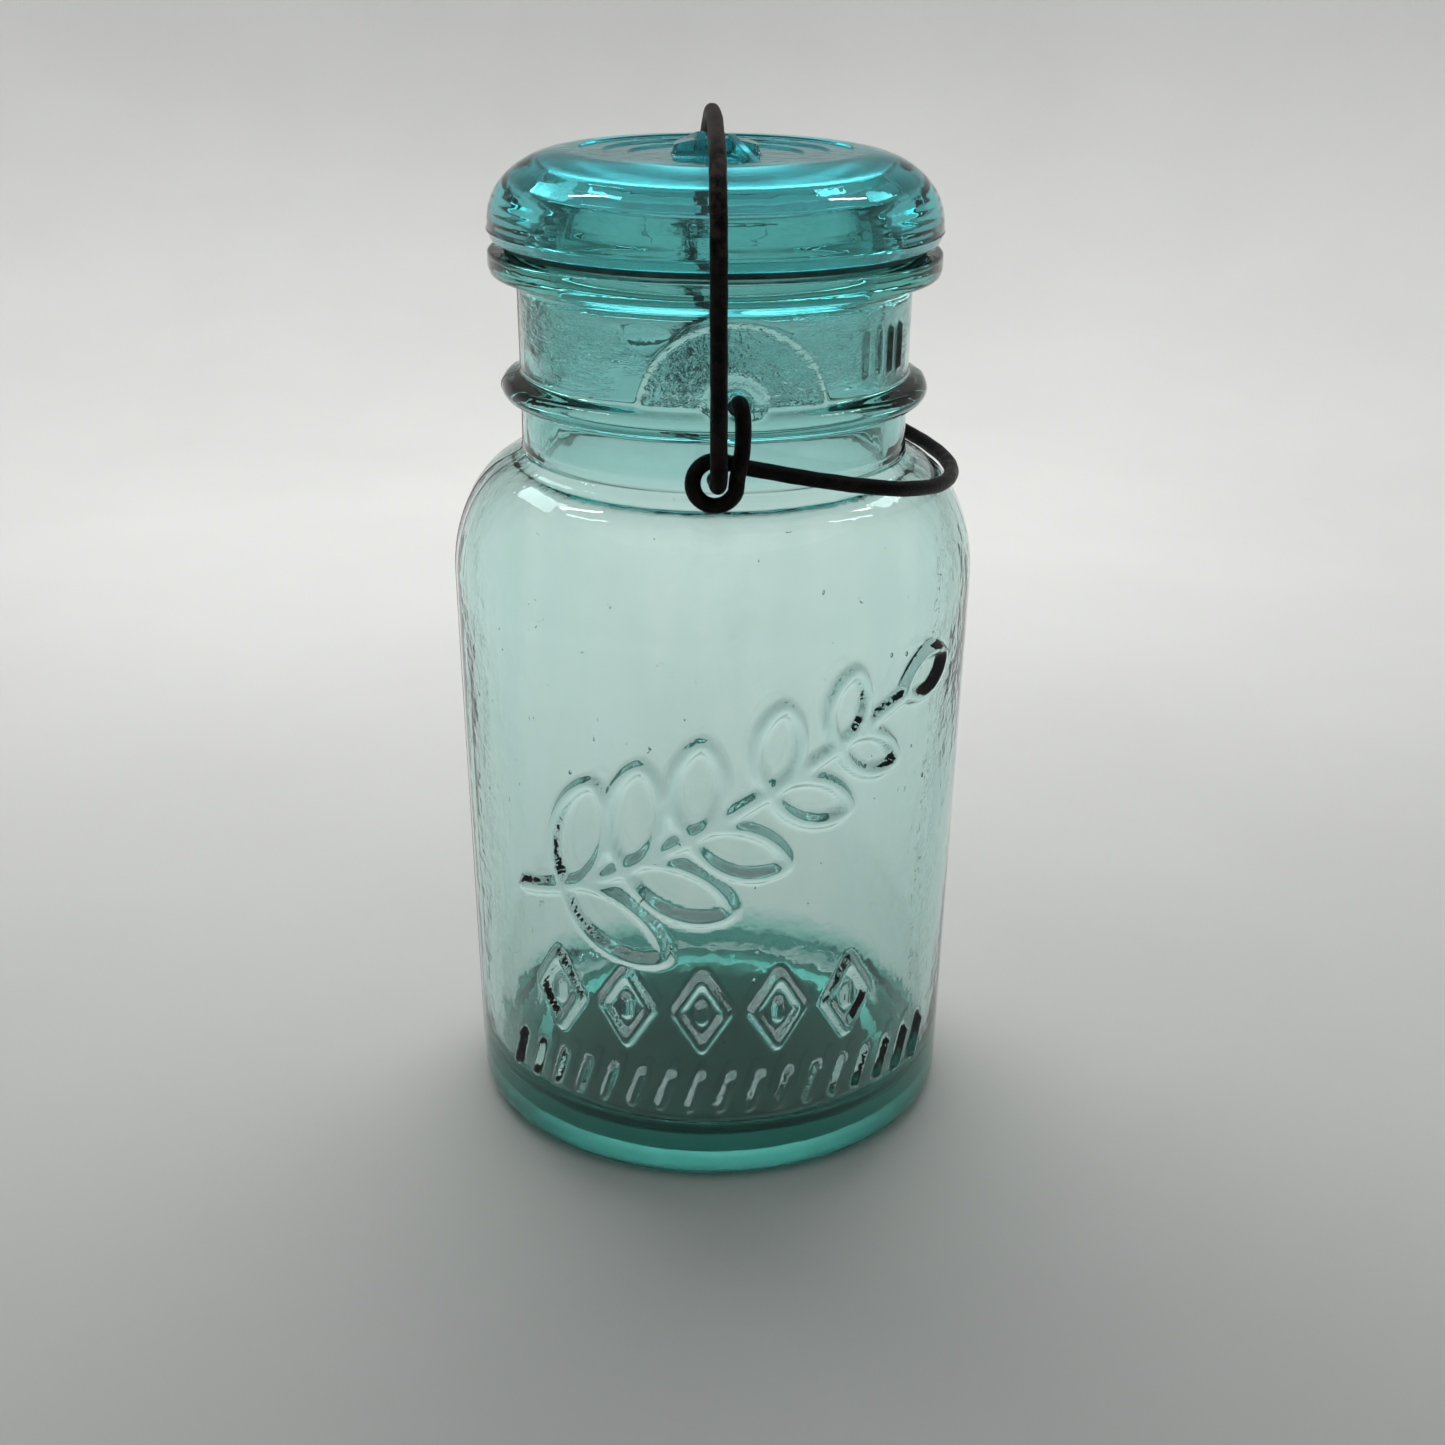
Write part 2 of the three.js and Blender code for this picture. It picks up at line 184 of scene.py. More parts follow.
@dataclass(frozen=True)
class Unevenness:
    """A smooth uneven field: the sum of sines of (whole number * angle + pitch * height + phase).

    Attributes:
        seed: Seed of the numbers drawn.
        count: How many sines.
        across: Most waves round the piece.
        up: Shortest wave along the height, in metres.
        depth: What the field, which runs from about -1 to 1, is multiplied by.
    """

    seed: int
    count: int
    across: int
    up: float
    depth: float

    def at(self, angle: np.ndarray, height: np.ndarray) -> np.ndarray:
        """The field at angles in radians and heights in metres.

        Args:
            angle: Angles round the axis.
            height: Heights, or radii on a flat piece.

        Returns:
            The field, with the shape of its inputs.
        """
        draw = np.random.default_rng(self.seed)
        total = np.zeros(np.broadcast(angle, height).shape)
        for _ in range(self.count):
            around = draw.integers(2, self.across)
            pitch = draw.uniform(-2 * math.pi, 2 * math.pi) / self.up
            total += np.sin(around * angle + pitch * height + draw.uniform(0, 2 * math.pi))
        return total * self.depth / math.sqrt(self.count)


# ---- Shells ----


@dataclass
class Shell:
    """A closed surface: points, and faces with four or three corners."""

    points: np.ndarray
    quads: np.ndarray
    triangles: np.ndarray

    @classmethod
    def rings(cls, rings: np.ndarray, poles: tuple[np.ndarray, np.ndarray] | None = None) -> "Shell":
        """A skin over rings of points that wrap round, closed by two poles or, without poles, row to row.

        Args:
            rings: (rows, columns, 3) points.
            poles: The point that closes the first ring and the one that closes the last.

        Returns:
            The shell, with its faces pointing out.
        """
        rows, columns = rings.shape[:2]
        j = np.arange(columns)
        k = (j + 1) % columns
        last = rows if poles is None else rows - 1
        low = (np.arange(last) * columns)[:, None]
        high = (((np.arange(last) + 1) % rows) * columns)[:, None]
        quads = np.stack([low + j, low + k, high + k, high + j], -1).reshape(-1, 4)
        points, triangles = rings.reshape(-1, 3), np.zeros((0, 3), int)
        if poles is not None:
            top = (rows - 1) * columns
            first, final = np.full(columns, len(points)), np.full(columns, len(points) + 1)
            triangles = np.vstack([np.stack([first, k, j], 1), np.stack([final, top + j, top + k], 1)])
            points = np.vstack([points, poles[0], poles[1]])
        shell = cls(points, quads, triangles)
        return shell if shell.volume() > 0 else shell.reversed()

    def volume(self) -> float:
        """The volume inside, from the corners' triple products; negative if the faces point in.

        Returns:
            Cubic metres.
        """
        corners = np.vstack([self.quads[:, [0, 1, 2]], self.quads[:, [0, 2, 3]], self.triangles])
        a, b, c = (self.points[corners[:, i]] for i in range(3))
        return float((a * np.cross(b, c)).sum() / 6)

    def reversed(self) -> "Shell":
        """The same surface with its faces turned round."""
        return Shell(self.points, self.quads[:, ::-1], self.triangles[:, ::-1])

    def __add__(self, other: "Shell") -> "Shell":
        """Both surfaces as one."""
        shift = len(self.points)
        return Shell(
            np.vstack([self.points, other.points]),
            np.vstack([self.quads, other.quads + shift]),
            np.vstack([self.triangles, other.triangles + shift]),
        )

    def piece(
        self, name: str, body: Body, node: str, slot: str, finish: bpy.types.Material,
    ) -> bpy.types.Object:
        """Makes the mesh, rides it on its body and lets it stand for its CAD node.

        Args:
            name: The piece's name.
            body: The body it moves with.
            node: The CAD node it replaces.
            slot: The record's material slot; not used.
            finish: Its material.

        Returns:
            The object, at the origin with its place in its mesh.
        """
        made = self.object(name, finish)
        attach(made, body.value)
        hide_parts(node)
        size = np.ptp(self.points, axis=0) / MM
        faces = 2 * len(self.quads) + len(self.triangles)
        log.info("%s: %.1f x %.1f x %.1f mm, %d triangles, on %s", name, *size, faces, body.value)
        return made

    def object(self, name: str, finish: bpy.types.Material) -> bpy.types.Object:
        """The smooth-shaded mesh object with its finish, linked to the scene.

        Args:
            name: The name of object and mesh.
            finish: Its material.

        Returns:
            The object.
        """
        mesh = bpy.data.meshes.new(name)
        mesh.from_pydata(self.points, [], self.quads.tolist() + self.triangles.tolist())
        mesh.polygons.foreach_set("use_smooth", np.ones(len(mesh.polygons), bool))
        mesh.materials.append(finish)
        mesh.update()
        made = bpy.data.objects.new(name, mesh)
        bpy.context.scene.collection.objects.link(made)
        return made


def turned(outline: np.ndarray, angles: np.ndarray) -> tuple[np.ndarray, np.ndarray, np.ndarray]:
    """The (radius, angle, height) grids of an outline turned about Z.

    Args:
        outline: (rows, 2) radius and height.
        angles: The columns' angles.

    Returns:
        Three (rows, columns) arrays.
    """
    radius = np.repeat(outline[:, :1], len(angles), 1)
    height = np.repeat(outline[:, 1:], len(angles), 1)
    return radius, np.broadcast_to(angles, radius.shape), height


def placed(radius: np.ndarray, angle: np.ndarray, height: np.ndarray) -> np.ndarray:
    """Points (radius * sin, -radius * cos, height) of the angle from the front."""
    return np.stack([radius * np.sin(angle), -radius * np.cos(angle), height], -1)


# ---- Raised ornament ----


@dataclass(frozen=True)
class Stroke:
    """A raised line on the glass: a path on the unrolled wall, its half width and height, in millimetres."""

    path: np.ndarray
    half_width: float
    height: float

    def raise_on(self, across: np.ndarray, up: np.ndarray) -> np.ndarray:
        """How far the stroke stands out: its height times a blend that falls with the distance to the path.

        Args:
            across: Distance round the wall of each point, in millimetres.
            up: Height of each point, in millimetres.

        Returns:
            Millimetres, 0 away from the stroke.
        """
        out = np.zeros(across.shape)
        low, high = self.path.min(0) - self.half_width, self.path.max(0) + self.half_width
        near = (across > low[0]) & (across < high[0]) & (up > low[1]) & (up < high[1])
        if not near.any():
            return out
        spot = np.stack([across[near], up[near]], -1)[:, None, :]
        start, run = self.path[:-1], np.diff(self.path, axis=0)
        length = np.maximum((run**2).sum(1), 1e-9)
        share = np.clip(((spot - start) * run).sum(-1) / length, 0, 1)
        gap = np.linalg.norm(spot - start - share[..., None] * run, axis=-1).min(1)
        out[near] = self.height * blend(self.half_width, 0.42 * self.half_width, gap)
        return out


def highest(strokes: Sequence[Stroke], across: np.ndarray, up: np.ndarray) -> np.ndarray:
    """The height of a pattern at points of the unrolled wall: that of the highest of its strokes there.

    Args:
        strokes: The pattern.
        across: Distance round the wall of each point, in millimetres.
        up: Height of each point, in millimetres.

    Returns:
        Millimetres.
    """
    out = np.zeros(across.shape)
    for stroke in strokes:
        out = np.maximum(out, stroke.raise_on(across, up))
    return out


def bezier(points: Sequence[Pair], count: int = 24) -> np.ndarray:
    """A cubic curve (1-t)^3 A + 3t(1-t)^2 B + 3t^2(1-t) C + t^3 D from its four points.

    Args:
        points: A, B, C and D.
        count: Points on the curve.

    Returns:
        (count, 2) points.
    """
    a, b, c, d = np.array(points, float)
    t = np.linspace(0, 1, count)[:, None]
    return (1 - t) ** 3 * a + 3 * t * (1 - t) ** 2 * b + 3 * t**2 * (1 - t) * c + t**3 * d


def leaf(base: np.ndarray, heading: float, length: float, width: float) -> np.ndarray:
    """A pointed leaf's outline: length * (1 - cos s) / 2 along its heading, width * |sin s|^1.4 to each side.

    Args:
        base: Where it grows from.
        heading: The way it points, in radians.
        length: Base to tip.
        width: Half its width.

    Returns:
        A closed path of 41 points.
    """
    s = np.linspace(0, 2 * math.pi, 41)
    along = length * (1 - np.cos(s)) / 2
    side = width * np.sign(np.sin(s)) * np.abs(np.sin(s)) ** 1.4
    ahead = np.array([math.cos(heading), math.sin(heading)])
    left = np.array([-ahead[1], ahead[0]])
    return base + along[:, None] * ahead + side[:, None] * left


@dataclass
class Ornament:
    """Raised pattern on the front of the jar: a slanting sprig, a row of lozenges, a band of bars."""

    stem: Sequence[Pair] = ((-42, 55), (-19, 59), (0, 80), (32, 93))
    leaf_shares: Sequence[float] = (0.16, 0.34, 0.52, 0.7, 0.86)
    leaf_length: float = 22
    leaf_width: float = 5.2
    leaf_spread: float = math.radians(52)
    sprig_half_width: float = 1.75
    relief: float = 1.3
    lozenge_row: Triple = (-34, 22, 36)
    lozenges: int = 5
    lozenge_half: Pair = (4.6, 7.4)
    band: Triple = (-46, 43, 19.3)
    bars: int = 17
    bar_half: Pair = (1.1, 3.3)

    def sprig(self) -> list[Stroke]:
        """The stem and its leaves, which grow to both sides in turn and get shorter towards the tip.

        Returns:
            The strokes.
        """
        stem = bezier(self.stem, 60)
        strokes = [Stroke(stem, self.sprig_half_width, self.relief)]
        for nth, share in enumerate(self.leaf_shares):
            spot = int(share * (len(stem) - 1))
            ahead = stem[spot + 1] - stem[spot]
            heading = math.atan2(ahead[1], ahead[0])
            size = (self.leaf_length * (1 - 0.1 * nth), self.leaf_width * (1 - 0.08 * nth))
            for side in (1, -1):
                outline = leaf(stem[spot], heading + side * self.leaf_spread, *size)
                strokes.append(Stroke(outline, self.sprig_half_width * 0.85, self.relief))
        tip = stem[-1] - stem[-2]
        outline = leaf(stem[-1], math.atan2(tip[1], tip[0]), self.leaf_length * 0.55, self.leaf_width * 0.7)
        return [*strokes, Stroke(outline, self.sprig_half_width * 0.8, self.relief)]

    def lozenge_strokes(self) -> list[Stroke]:
        """Lozenge outlines in a row, with a raised dot in each.

        Returns:
            The strokes.
        """
        start, end, height = self.lozenge_row
        wide, tall = self.lozenge_half
        corners = np.array([[wide, 0], [0, tall], [-wide, 0], [0, -tall], [wide, 0]])
        strokes = []
        for across in np.linspace(start, end, self.lozenges):
            centre = np.array([across, height])
            strokes.append(Stroke(centre + corners, 1.15, 0.85 * self.relief))
            strokes.append(Stroke(centre + np.array([[0, -1.4], [0, 1.4]]), 1.3, 0.8 * self.relief))
        return strokes

    def band_strokes(self) -> list[Stroke]:
        """Short bars that lean the same way, evenly spaced round the foot of the wall.

        Returns:
            The strokes.
        """
        start, end, height = self.band
        lean, tall = self.bar_half
        half = np.array([[-lean, -tall], [lean, tall]])
        return [
            Stroke(np.array([across, height]) + half, 1.05, 0.8 * self.relief)
            for across in np.linspace(start, end, self.bars)
        ]

    def raise_on(self, across: np.ndarray, up: np.ndarray) -> np.ndarray:
        """The whole pattern's height at points of the unrolled wall."""
        return highest([*self.sprig(), *self.lozenge_strokes(), *self.band_strokes()], across, up)


# ---- Glass pieces ----


@dataclass
class JarBody:
    """The jar: footed base, tapering wall, shoulder, neck with a wire bead, flange and lip. Millimetres."""

    wall_top_r: float
    lip_top_z: float
    wall: float = 3.2
    wall_low_r: float = 45.8
    wall_top_z: float = 106
    heel_r: float = 4
    floor_z: float = 6.4
    shoulder_r: float = 34
    shoulder_rise: float = 22
    neck_foot_z: float = 129.4
    neck_r: float = 35
    bore_r: float = 31.4
    bead: Triple = (36.4, 140.4, 2.1)
    flange: Triple = (40.4, 160.4, 164.6)
    lip_r: float = 32.4
    mouth_r: float = 28.8
    pivot_z: float = 144.2
    pad: Triple = (16, 141.6, 0.85)
    knob: Triple = (5.4, 143.2, 38.3)
    socket: Triple = (1.75, 3.1, 35.4)
    countersink: float = 1.4
    seam_height: float = 0.16
    seam_zone: Zone = (5, 9, 157, 160.5)
    wall_zone: Zone = (6, 14, 112, 130)
    neck_zone: Zone = (129.5, 132, 158, 160.2)
    inner_wall_zone: Zone = (8, 24, 116, 128)
    inner_neck_zone: Zone = (130, 133, 155, 158)
    wall_ripple: Unevenness = Unevenness(3, 14, 15, 0.055, 0.035)
    neck_ripple: Unevenness = Unevenness(8, 18, 42, 0.011, 0.014)
    pad_ripple: Unevenness = Unevenness(21, 26, 90, 0.004, 0.016)
    inner_wall_ripple: Unevenness = Unevenness(5, 12, 9, 0.07, 0.07)
    inner_neck_ripple: Unevenness = Unevenness(6, 14, 20, 0.03, 0.02)
    floor_ripple: Unevenness = Unevenness(9, 8, 6, 0.03, 0.12)
    neck_bars: Sequence[float] = (25.5, 29.2, 32.9, 36.6)
    neck_bar_z: Pair = (147, 153.5)
    ornament: Ornament = field(default_factory=Ornament)

    def outside(self) -> np.ndarray:
        """The outline from the middle of the base up to the inner edge of the lip.

        Returns:
            (n, 2) radii and heights in metres.
        """
        bearing = self.wall_low_r - self.heel_r
        base = rounded([(0.6, 1.6, 0), (32.5, 1.5, 3), (36.6, 0.05, 1.2), (38.4, 0, 1), (bearing, 0, 0)])
        heel = quarter((bearing, self.heel_r), (self.heel_r, self.heel_r), (-1, 0), 12)
        half = self.wall_top_r - self.shoulder_r
        shoulder = quarter((self.shoulder_r, self.wall_top_z), (half, self.shoulder_rise), (0, 0.86), 34)
        bead_r, bead_z, bead_half = self.bead
        bulge = quarter((bead_r, bead_z), (bead_half, bead_half), (-0.8, 0.8), 14)
        flange_r, under, seat = self.flange
        foot_r, foot_z = shoulder[-1] / MM
        neck = rounded([
            (foot_r, foot_z, 0),
            (self.neck_r + 0.1, self.neck_foot_z - 0.7, 0.9),
            (self.neck_r - 0.1, 131, 1),
            (self.neck_r - 0.1, bead_z - bead_half - 0.3, 0.9),
            (*(bulge[0] / MM), 0),
        ])
        upper = rounded([
            (*(bulge[-1] / MM), 0),
            (self.neck_r, bead_z + bead_half + 0.5, 0.9),
            (self.neck_r + 0.2, under - 1.1, 1.6),
            (flange_r - 0.4, under + 0.2, 0.9),
            (flange_r, under + 1.6, 0.9),
            (flange_r - 0.05, seat, 0.7),
            (self.lip_r, seat, 0.6),
            (self.lip_r - 0.3, self.lip_top_z, 1.5),
            (self.lip_r - 2.6, self.lip_top_z, 0.8),
        ])
        return np.vstack([base, heel[1:], shoulder, neck[1:], bulge[1:], upper[1:]])

    def inside(self) -> np.ndarray:
        """The outline from the lip down the bore, under the shoulder and down to the middle of the floor.

        Returns:
            (n, 2) radii and heights in metres.
        """
        bore = rounded([
            (self.lip_r - 2.6, self.lip_top_z, 0), (self.mouth_r, self.lip_top_z - 0.2, 1),
            (self.mouth_r, 161.4, 4), (self.bore_r, 157, 4), (self.bore_r, 128.4, 1.5), (34, 124.9, 0),
        ])
        half = (self.wall_top_r - self.wall - self.shoulder_r, self.shoulder_rise - self.wall)
        shoulder = quarter((self.shoulder_r, self.wall_top_z), half, (0.97, 0), 16)
        heel = quarter((self.wall_low_r - self.wall - 8, self.floor_z + 8), (8, 8), (0, -1), 10)
        floor = rounded([(34.6, self.floor_z, 0), (20, 6.1, 30), (0.6, 5.7, 0)])
        return np.vstack([bore[1:-1], shoulder, heel, floor[1:]])

    def step(self, point: np.ndarray) -> np.ndarray:
        """The longest stretch of outline between rows: short at the ornament, the neck and the knobs.

        Args:
            point: (n, 2) places on the outline, in metres.

        Returns:
            Metres.
        """
        radius, height = point[:, 0] / MM, point[:, 1] / MM
        outer = radius > np.where(height < 128, 45.2, 33)
        fine = np.where((height > 13) & (height < 101), 0.72, 1.3)
        fine = np.where((height > 129) & (height < 161), 0.62, fine)
        return np.where(outer, fine, 4.2) * MM

    def columns(self) -> np.ndarray:
        """Angles of the columns: close at the front, at the back pad and at the two mould seams."""
        return stations([
            (-154, 1.4), (-91.2, 3.6), (-88.8, 0.4), (-61, 3.4), (61, 0.78),
            (79, 1.3), (88.8, 3.3), (91.2, 0.4), (154, 3.6), (180, 1.4),
        ])

    def raised(self, radius: np.ndarray, angle: np.ndarray, height: np.ndarray) -> np.ndarray:
        """The outer wall's radius with ripples, mould seams, ornament, neck bars and the two round pads.

        Args:
            radius: Radii of the plain outline, in metres.
            angle: Angles from the front, in radians.
            height: Heights in metres.

        Returns:
            Radii in metres.
        """
        up = height / MM
        on_neck = within(self.neck_zone, up)
        ripple = self.wall_ripple.at(angle, height) * within(self.wall_zone, up)
        ripple += self.neck_ripple.at(angle, height) * on_neck
        seam = blend(math.radians(0.75), 0.0, np.abs(np.abs(angle) - math.pi / 2))
        ripple += seam * self.seam_height * within(self.seam_zone, up)
        ripple += self.ornament.raise_on(angle * 47, up)
        bars = [Stroke(np.array([[spot, z] for z in self.neck_bar_z]), 0.95, 0.6) for spot in self.neck_bars]
        ripple += highest(bars, angle * self.neck_r, up)
        pad_r, pad_z, pad_height = self.pad
        reach = np.hypot(np.abs(radius * np.sin(angle)) / MM, up - pad_z)
        clear = blend(142.2, 143.2, up) * on_neck
        ripple += pad_height * blend(pad_r + 0.4, pad_r - 0.8, reach) * clear
        ripple += self.pad_ripple.at(angle, height) * blend(pad_r, pad_r - 2, reach) * clear
        return radius + ripple * MM

    def with_knobs(self, points: np.ndarray) -> np.ndarray:
        """Pushes the neck out along Y to the knobs' faces, and in again at the lever's sockets.

        Args:
            points: (rows, columns, 3) points in metres.

        Returns:
            The points, moved along Y.
        """
        x, y, z = (points[..., i] / MM for i in range(3))
        knob_r, knob_z, face = self.knob
        socket_r, mouth_r, socket_floor = self.socket
        near = (np.abs(y) > 25) & (z > 134)
        reach = np.hypot(x, z - knob_z)
        rise = blend(knob_r + 0.5, knob_r - 0.9, reach) * near
        out = np.abs(y) + rise * np.maximum(0, face - 0.035 * reach**2 - np.abs(y))
        bore = np.hypot(x, z - self.pivot_z)
        depth = (face - self.countersink - socket_floor) * blend(socket_r + 0.7, socket_r, bore)
        depth += self.countersink * blend(mouth_r, socket_r, bore)
        out = out - np.where(near, depth, 0) * (bore < mouth_r + 0.5)
        return np.stack([points[..., 0], np.sign(y) * out * MM, points[..., 2]], -1)

    def seeds(self, count: int = 130) -> Shell:
        """Small air bubbles in the wall: stretched spheres whose faces point inwards, away from the glass.

        Args:
            count: How many.

        Returns:
            All of them as one surface.
        """
        draw = np.random.default_rng(11)
        angle = draw.uniform(-math.pi, math.pi, count)
        height = draw.uniform(16, 112, count)
        depth = draw.uniform(0.9, 2.3, count)
        radius = self.wall_low_r + (self.wall_top_r - self.wall_low_r) * np.minimum(height, 106) / 106 - depth
        radius -= np.maximum(0, height - 106) ** 2 * 0.03
        size = 0.13 + 0.26 * draw.random(count) ** 3
        turn = np.arange(8) * math.pi / 4
        rise = np.array([-0.7, 0, 0.7])
        girdle = np.sqrt(1 - rise**2)
        sphere = np.stack([
            girdle[:, None] * np.cos(turn), girdle[:, None] * np.sin(turn), np.repeat(rise[:, None], 8, 1),
        ], -1)
        stretch = np.stack([size, size, size * draw.uniform(1, 1.7, count)], -1)
        centre = placed(radius, angle, height)
        bubbles = Shell(np.zeros((0, 3)), np.zeros((0, 4), int), np.zeros((0, 3), int))
        for spot, scale in zip(centre, stretch, strict=True):
            tip = np.array([0, 0, scale[2]])
            bubble = Shell.rings((sphere * scale + spot) * MM, ((spot - tip) * MM, (spot + tip) * MM))
            bubbles = bubbles + bubble.reversed()
        return bubbles

    def shell(self) -> Shell:
        """The whole jar as one closed surface, outside and inside.

        Returns:
            The surface, with the bubbles in its wall.
        """
        outer = subdivided(self.outside(), self.step)
        inner = subdivided(self.inside(), self.step)
        angles = self.columns()
        radius, angle, height = turned(outer, angles)
        outer_points = self.with_knobs(placed(self.raised(radius, angle, height), angle, height))
        radius, angle, height = turned(inner, angles)
        up = height / MM
        uneven = self.inner_wall_ripple.at(angle, height) * within(self.inner_wall_zone, up)
        uneven += self.inner_neck_ripple.at(angle, height) * within(self.inner_neck_zone, up)
        floor_wave = self.floor_ripple.at(angle, radius) * blend(8, 6.5, up) * blend(1, 12, radius / MM)
        inner_points = placed(radius + uneven * MM, angle, height + floor_wave * MM)
        base, floor = outer[0, 1], inner[-1, 1]
        rings = np.concatenate([outer_points, inner_points])
        skin = Shell.rings(rings, (np.array([0, 0, base]), np.array([0, 0, floor])))
        return skin + self.seeds()


@dataclass
class GlassLid:
    """The lid: a thick glass cap with a rounded edge, stepped rings, a boss and two ridges. Millimetres."""

    rim_r: float
    foot_z: float
    foot_r: float = 38.5
    seam_z: float = 168.2
    plateau_r: float = 25.6
    plateau_z: float = 181.5
    step_height: float = 0.35
    step_radii: Sequence[float] = (24.4, 20, 15.6)
    bore_r: float = 33.8
    bore_top_z: float = 174.4
    ceiling_z: float = 177
    ceiling_r: float = 29
    boss: Triple = (7.5, 2.8, 183.4)
    boss_turn: float = math.radians(-4.7)
    guide_start: Pair = (1.5, -2.2)
    guide_end: Pair = (4.9, -19)
    guide_width: float = 1.8
    guide_crest: float = 184.2
    flat_z: float = 178
    top_ripple: Unevenness = Unevenness(31, 14, 17, 0.012, 0.01)
    ceiling_ripple: Unevenness = Unevenness(32, 12, 9, 0.02, 0.02)

    def outline(self) -> np.ndarray:
        """From the middle of the top, over the dome, round the foot and up to the middle of the ceiling.

        Returns:
            (n, 2) radii and heights in metres.
        """
        top, level = [], self.plateau_z - self.step_height * len(self.step_radii)
        top.append((0.5, level, 0))
        for radius in reversed(self.step_radii):
            top.append((radius - self.step_height, level, 0.3))
            level += self.step_height
            top.append((radius, level, 0.3))
        top.append((self.plateau_r, self.plateau_z, 0))
        dome_z = self.seam_z + 1.2
        half = (self.rim_r - 0.2 - self.plateau_r, self.plateau_z - dome_z)
        dome = quarter((self.plateau_r, dome_z), half, (1, 0), 44)
        skirt = rounded([
            (self.rim_r - 0.2, dome_z, 0),
            (self.rim_r - 0.15, self.seam_z + 0.3, 0.2),
            (self.rim_r, self.seam_z, 0.1),
            (self.rim_r - 0.2, self.seam_z - 0.25, 0.2),
            (self.rim_r - 0.8, self.foot_z + 0.4, 0.8),
            (self.foot_r - 0.6, self.foot_z, 0.8),
            (self.bore_r + 0.2, self.foot_z, 0.9),
            (self.bore_r, self.foot_z + 2, 1),
            (self.bore_r, self.bore_top_z - 1, 2),
            (self.ceiling_r + 1, self.ceiling_z - 0.4, 3),
            (self.ceiling_r - 6, self.ceiling_z, 4),
            (0.5, self.ceiling_z, 0),
        ], 7)
        return np.vstack([rounded(top, 4), dome[1:], skirt[1:]])

    def step(self, point: np.ndarray) -> np.ndarray:
        """Close rows on the plateau, where the boss and the ridges are, and wider ones elsewhere."""
        on_top = (point[:, 1] / MM > self.plateau_z - 2) & (point[:, 0] / MM < self.plateau_r + 1)
        return np.where(on_top, 0.36, 0.9) * MM

    def boss_height(self, x: np.ndarray, y: np.ndarray) -> np.ndarray:
        """Height of the bar on the plateau: its top inside a turned, rounded rectangle, and steep flanks.

        Args:
            x: Places across, in millimetres.
            y: Places along Y, in millimetres.

        Returns:
            Heights in millimetres.
        """
        half_length, half_width, top = self.boss
        corner = 1.1
        along = x * math.cos(self.boss_turn) + y * math.sin(self.boss_turn)
        aside = y * math.cos(self.boss_turn) - x * math.sin(self.boss_turn)
        beyond_x = np.maximum(np.abs(along) - half_length + corner, 0)
        beyond_y = np.maximum(np.abs(aside) - half_width + corner, 0)
        edge = np.hypot(beyond_x, beyond_y) - corner
        return self.flat_z + (top - self.flat_z) * blend(0.45, -0.15, edge) - 0.02 * along**2

    def ridge_height(self, x: np.ndarray, y: np.ndarray) -> np.ndarray:
        """Height of a guide ridge: a crest that slopes down along its length and falls off to each side.

        Args:
            x: Places across, in millimetres.
            y: Places along Y, in millimetres.

        Returns:
            Heights in millimetres.
        """
        start, end = np.array(self.guide_start), np.array(self.guide_end)
        run = end - start
        length = float(np.hypot(*run))
        ahead = run / length
        along = (x - start[0]) * ahead[0] + (y - start[1]) * ahead[1]
        aside = np.abs((x - start[0]) * ahead[1] - (y - start[1]) * ahead[0] + self.guide_width / 2)
        crest = self.guide_crest + (self.plateau_z - 0.9 - self.guide_crest) * along / length
        inside = blend(self.guide_width / 2 + 0.45, self.guide_width / 2 - 0.3, aside)
        inside = inside * blend(-0.5, 0.3, along) * blend(length + 0.6, length - 0.2, along)
        return self.flat_z + (crest - self.flat_z) * inside

    def shell(self) -> Shell:
        """The lid as one closed surface.

        Returns:
            The surface.
        """
        line = subdivided(self.outline(), self.step)
        radius, angle, height = turned(line, np.linspace(-math.pi, math.pi, 352, endpoint=False))
        up = height / MM
        outer = (np.arange(len(line)) <= line[:, 0].argmax())[:, None]
        uneven = self.top_ripple.at(angle, height) * within((168.4, 170, 179, 182), up)
        bands = 0.022 * np.sin(4.1 * up) + 0.012 * np.sin(7.3 * up + 1)
        uneven = uneven + bands * within((168.6, 169.4, 174, 177), up)
        uneven = np.where(outer, uneven, self.ceiling_ripple.at(angle, radius) * blend(178, 171, up))
        points = placed(radius + uneven * MM, angle, height)
        x, y = points[..., 0] / MM, points[..., 1] / MM
        ridges = np.maximum(self.ridge_height(x, y), self.ridge_height(-x, -y))
        raised = np.maximum(self.boss_height(x, y), ridges)
        on_top = outer & (up > self.plateau_z - 2) & (radius / MM < self.plateau_r)
        points[..., 2] = np.where(on_top, np.maximum(up, raised), up) * MM
        top = float(self.boss_height(np.zeros(1), np.zeros(1))[0]) * MM
        return Shell.rings(points, (np.array([0, 0, top]), np.array([0, 0, line[-1, 1]])))


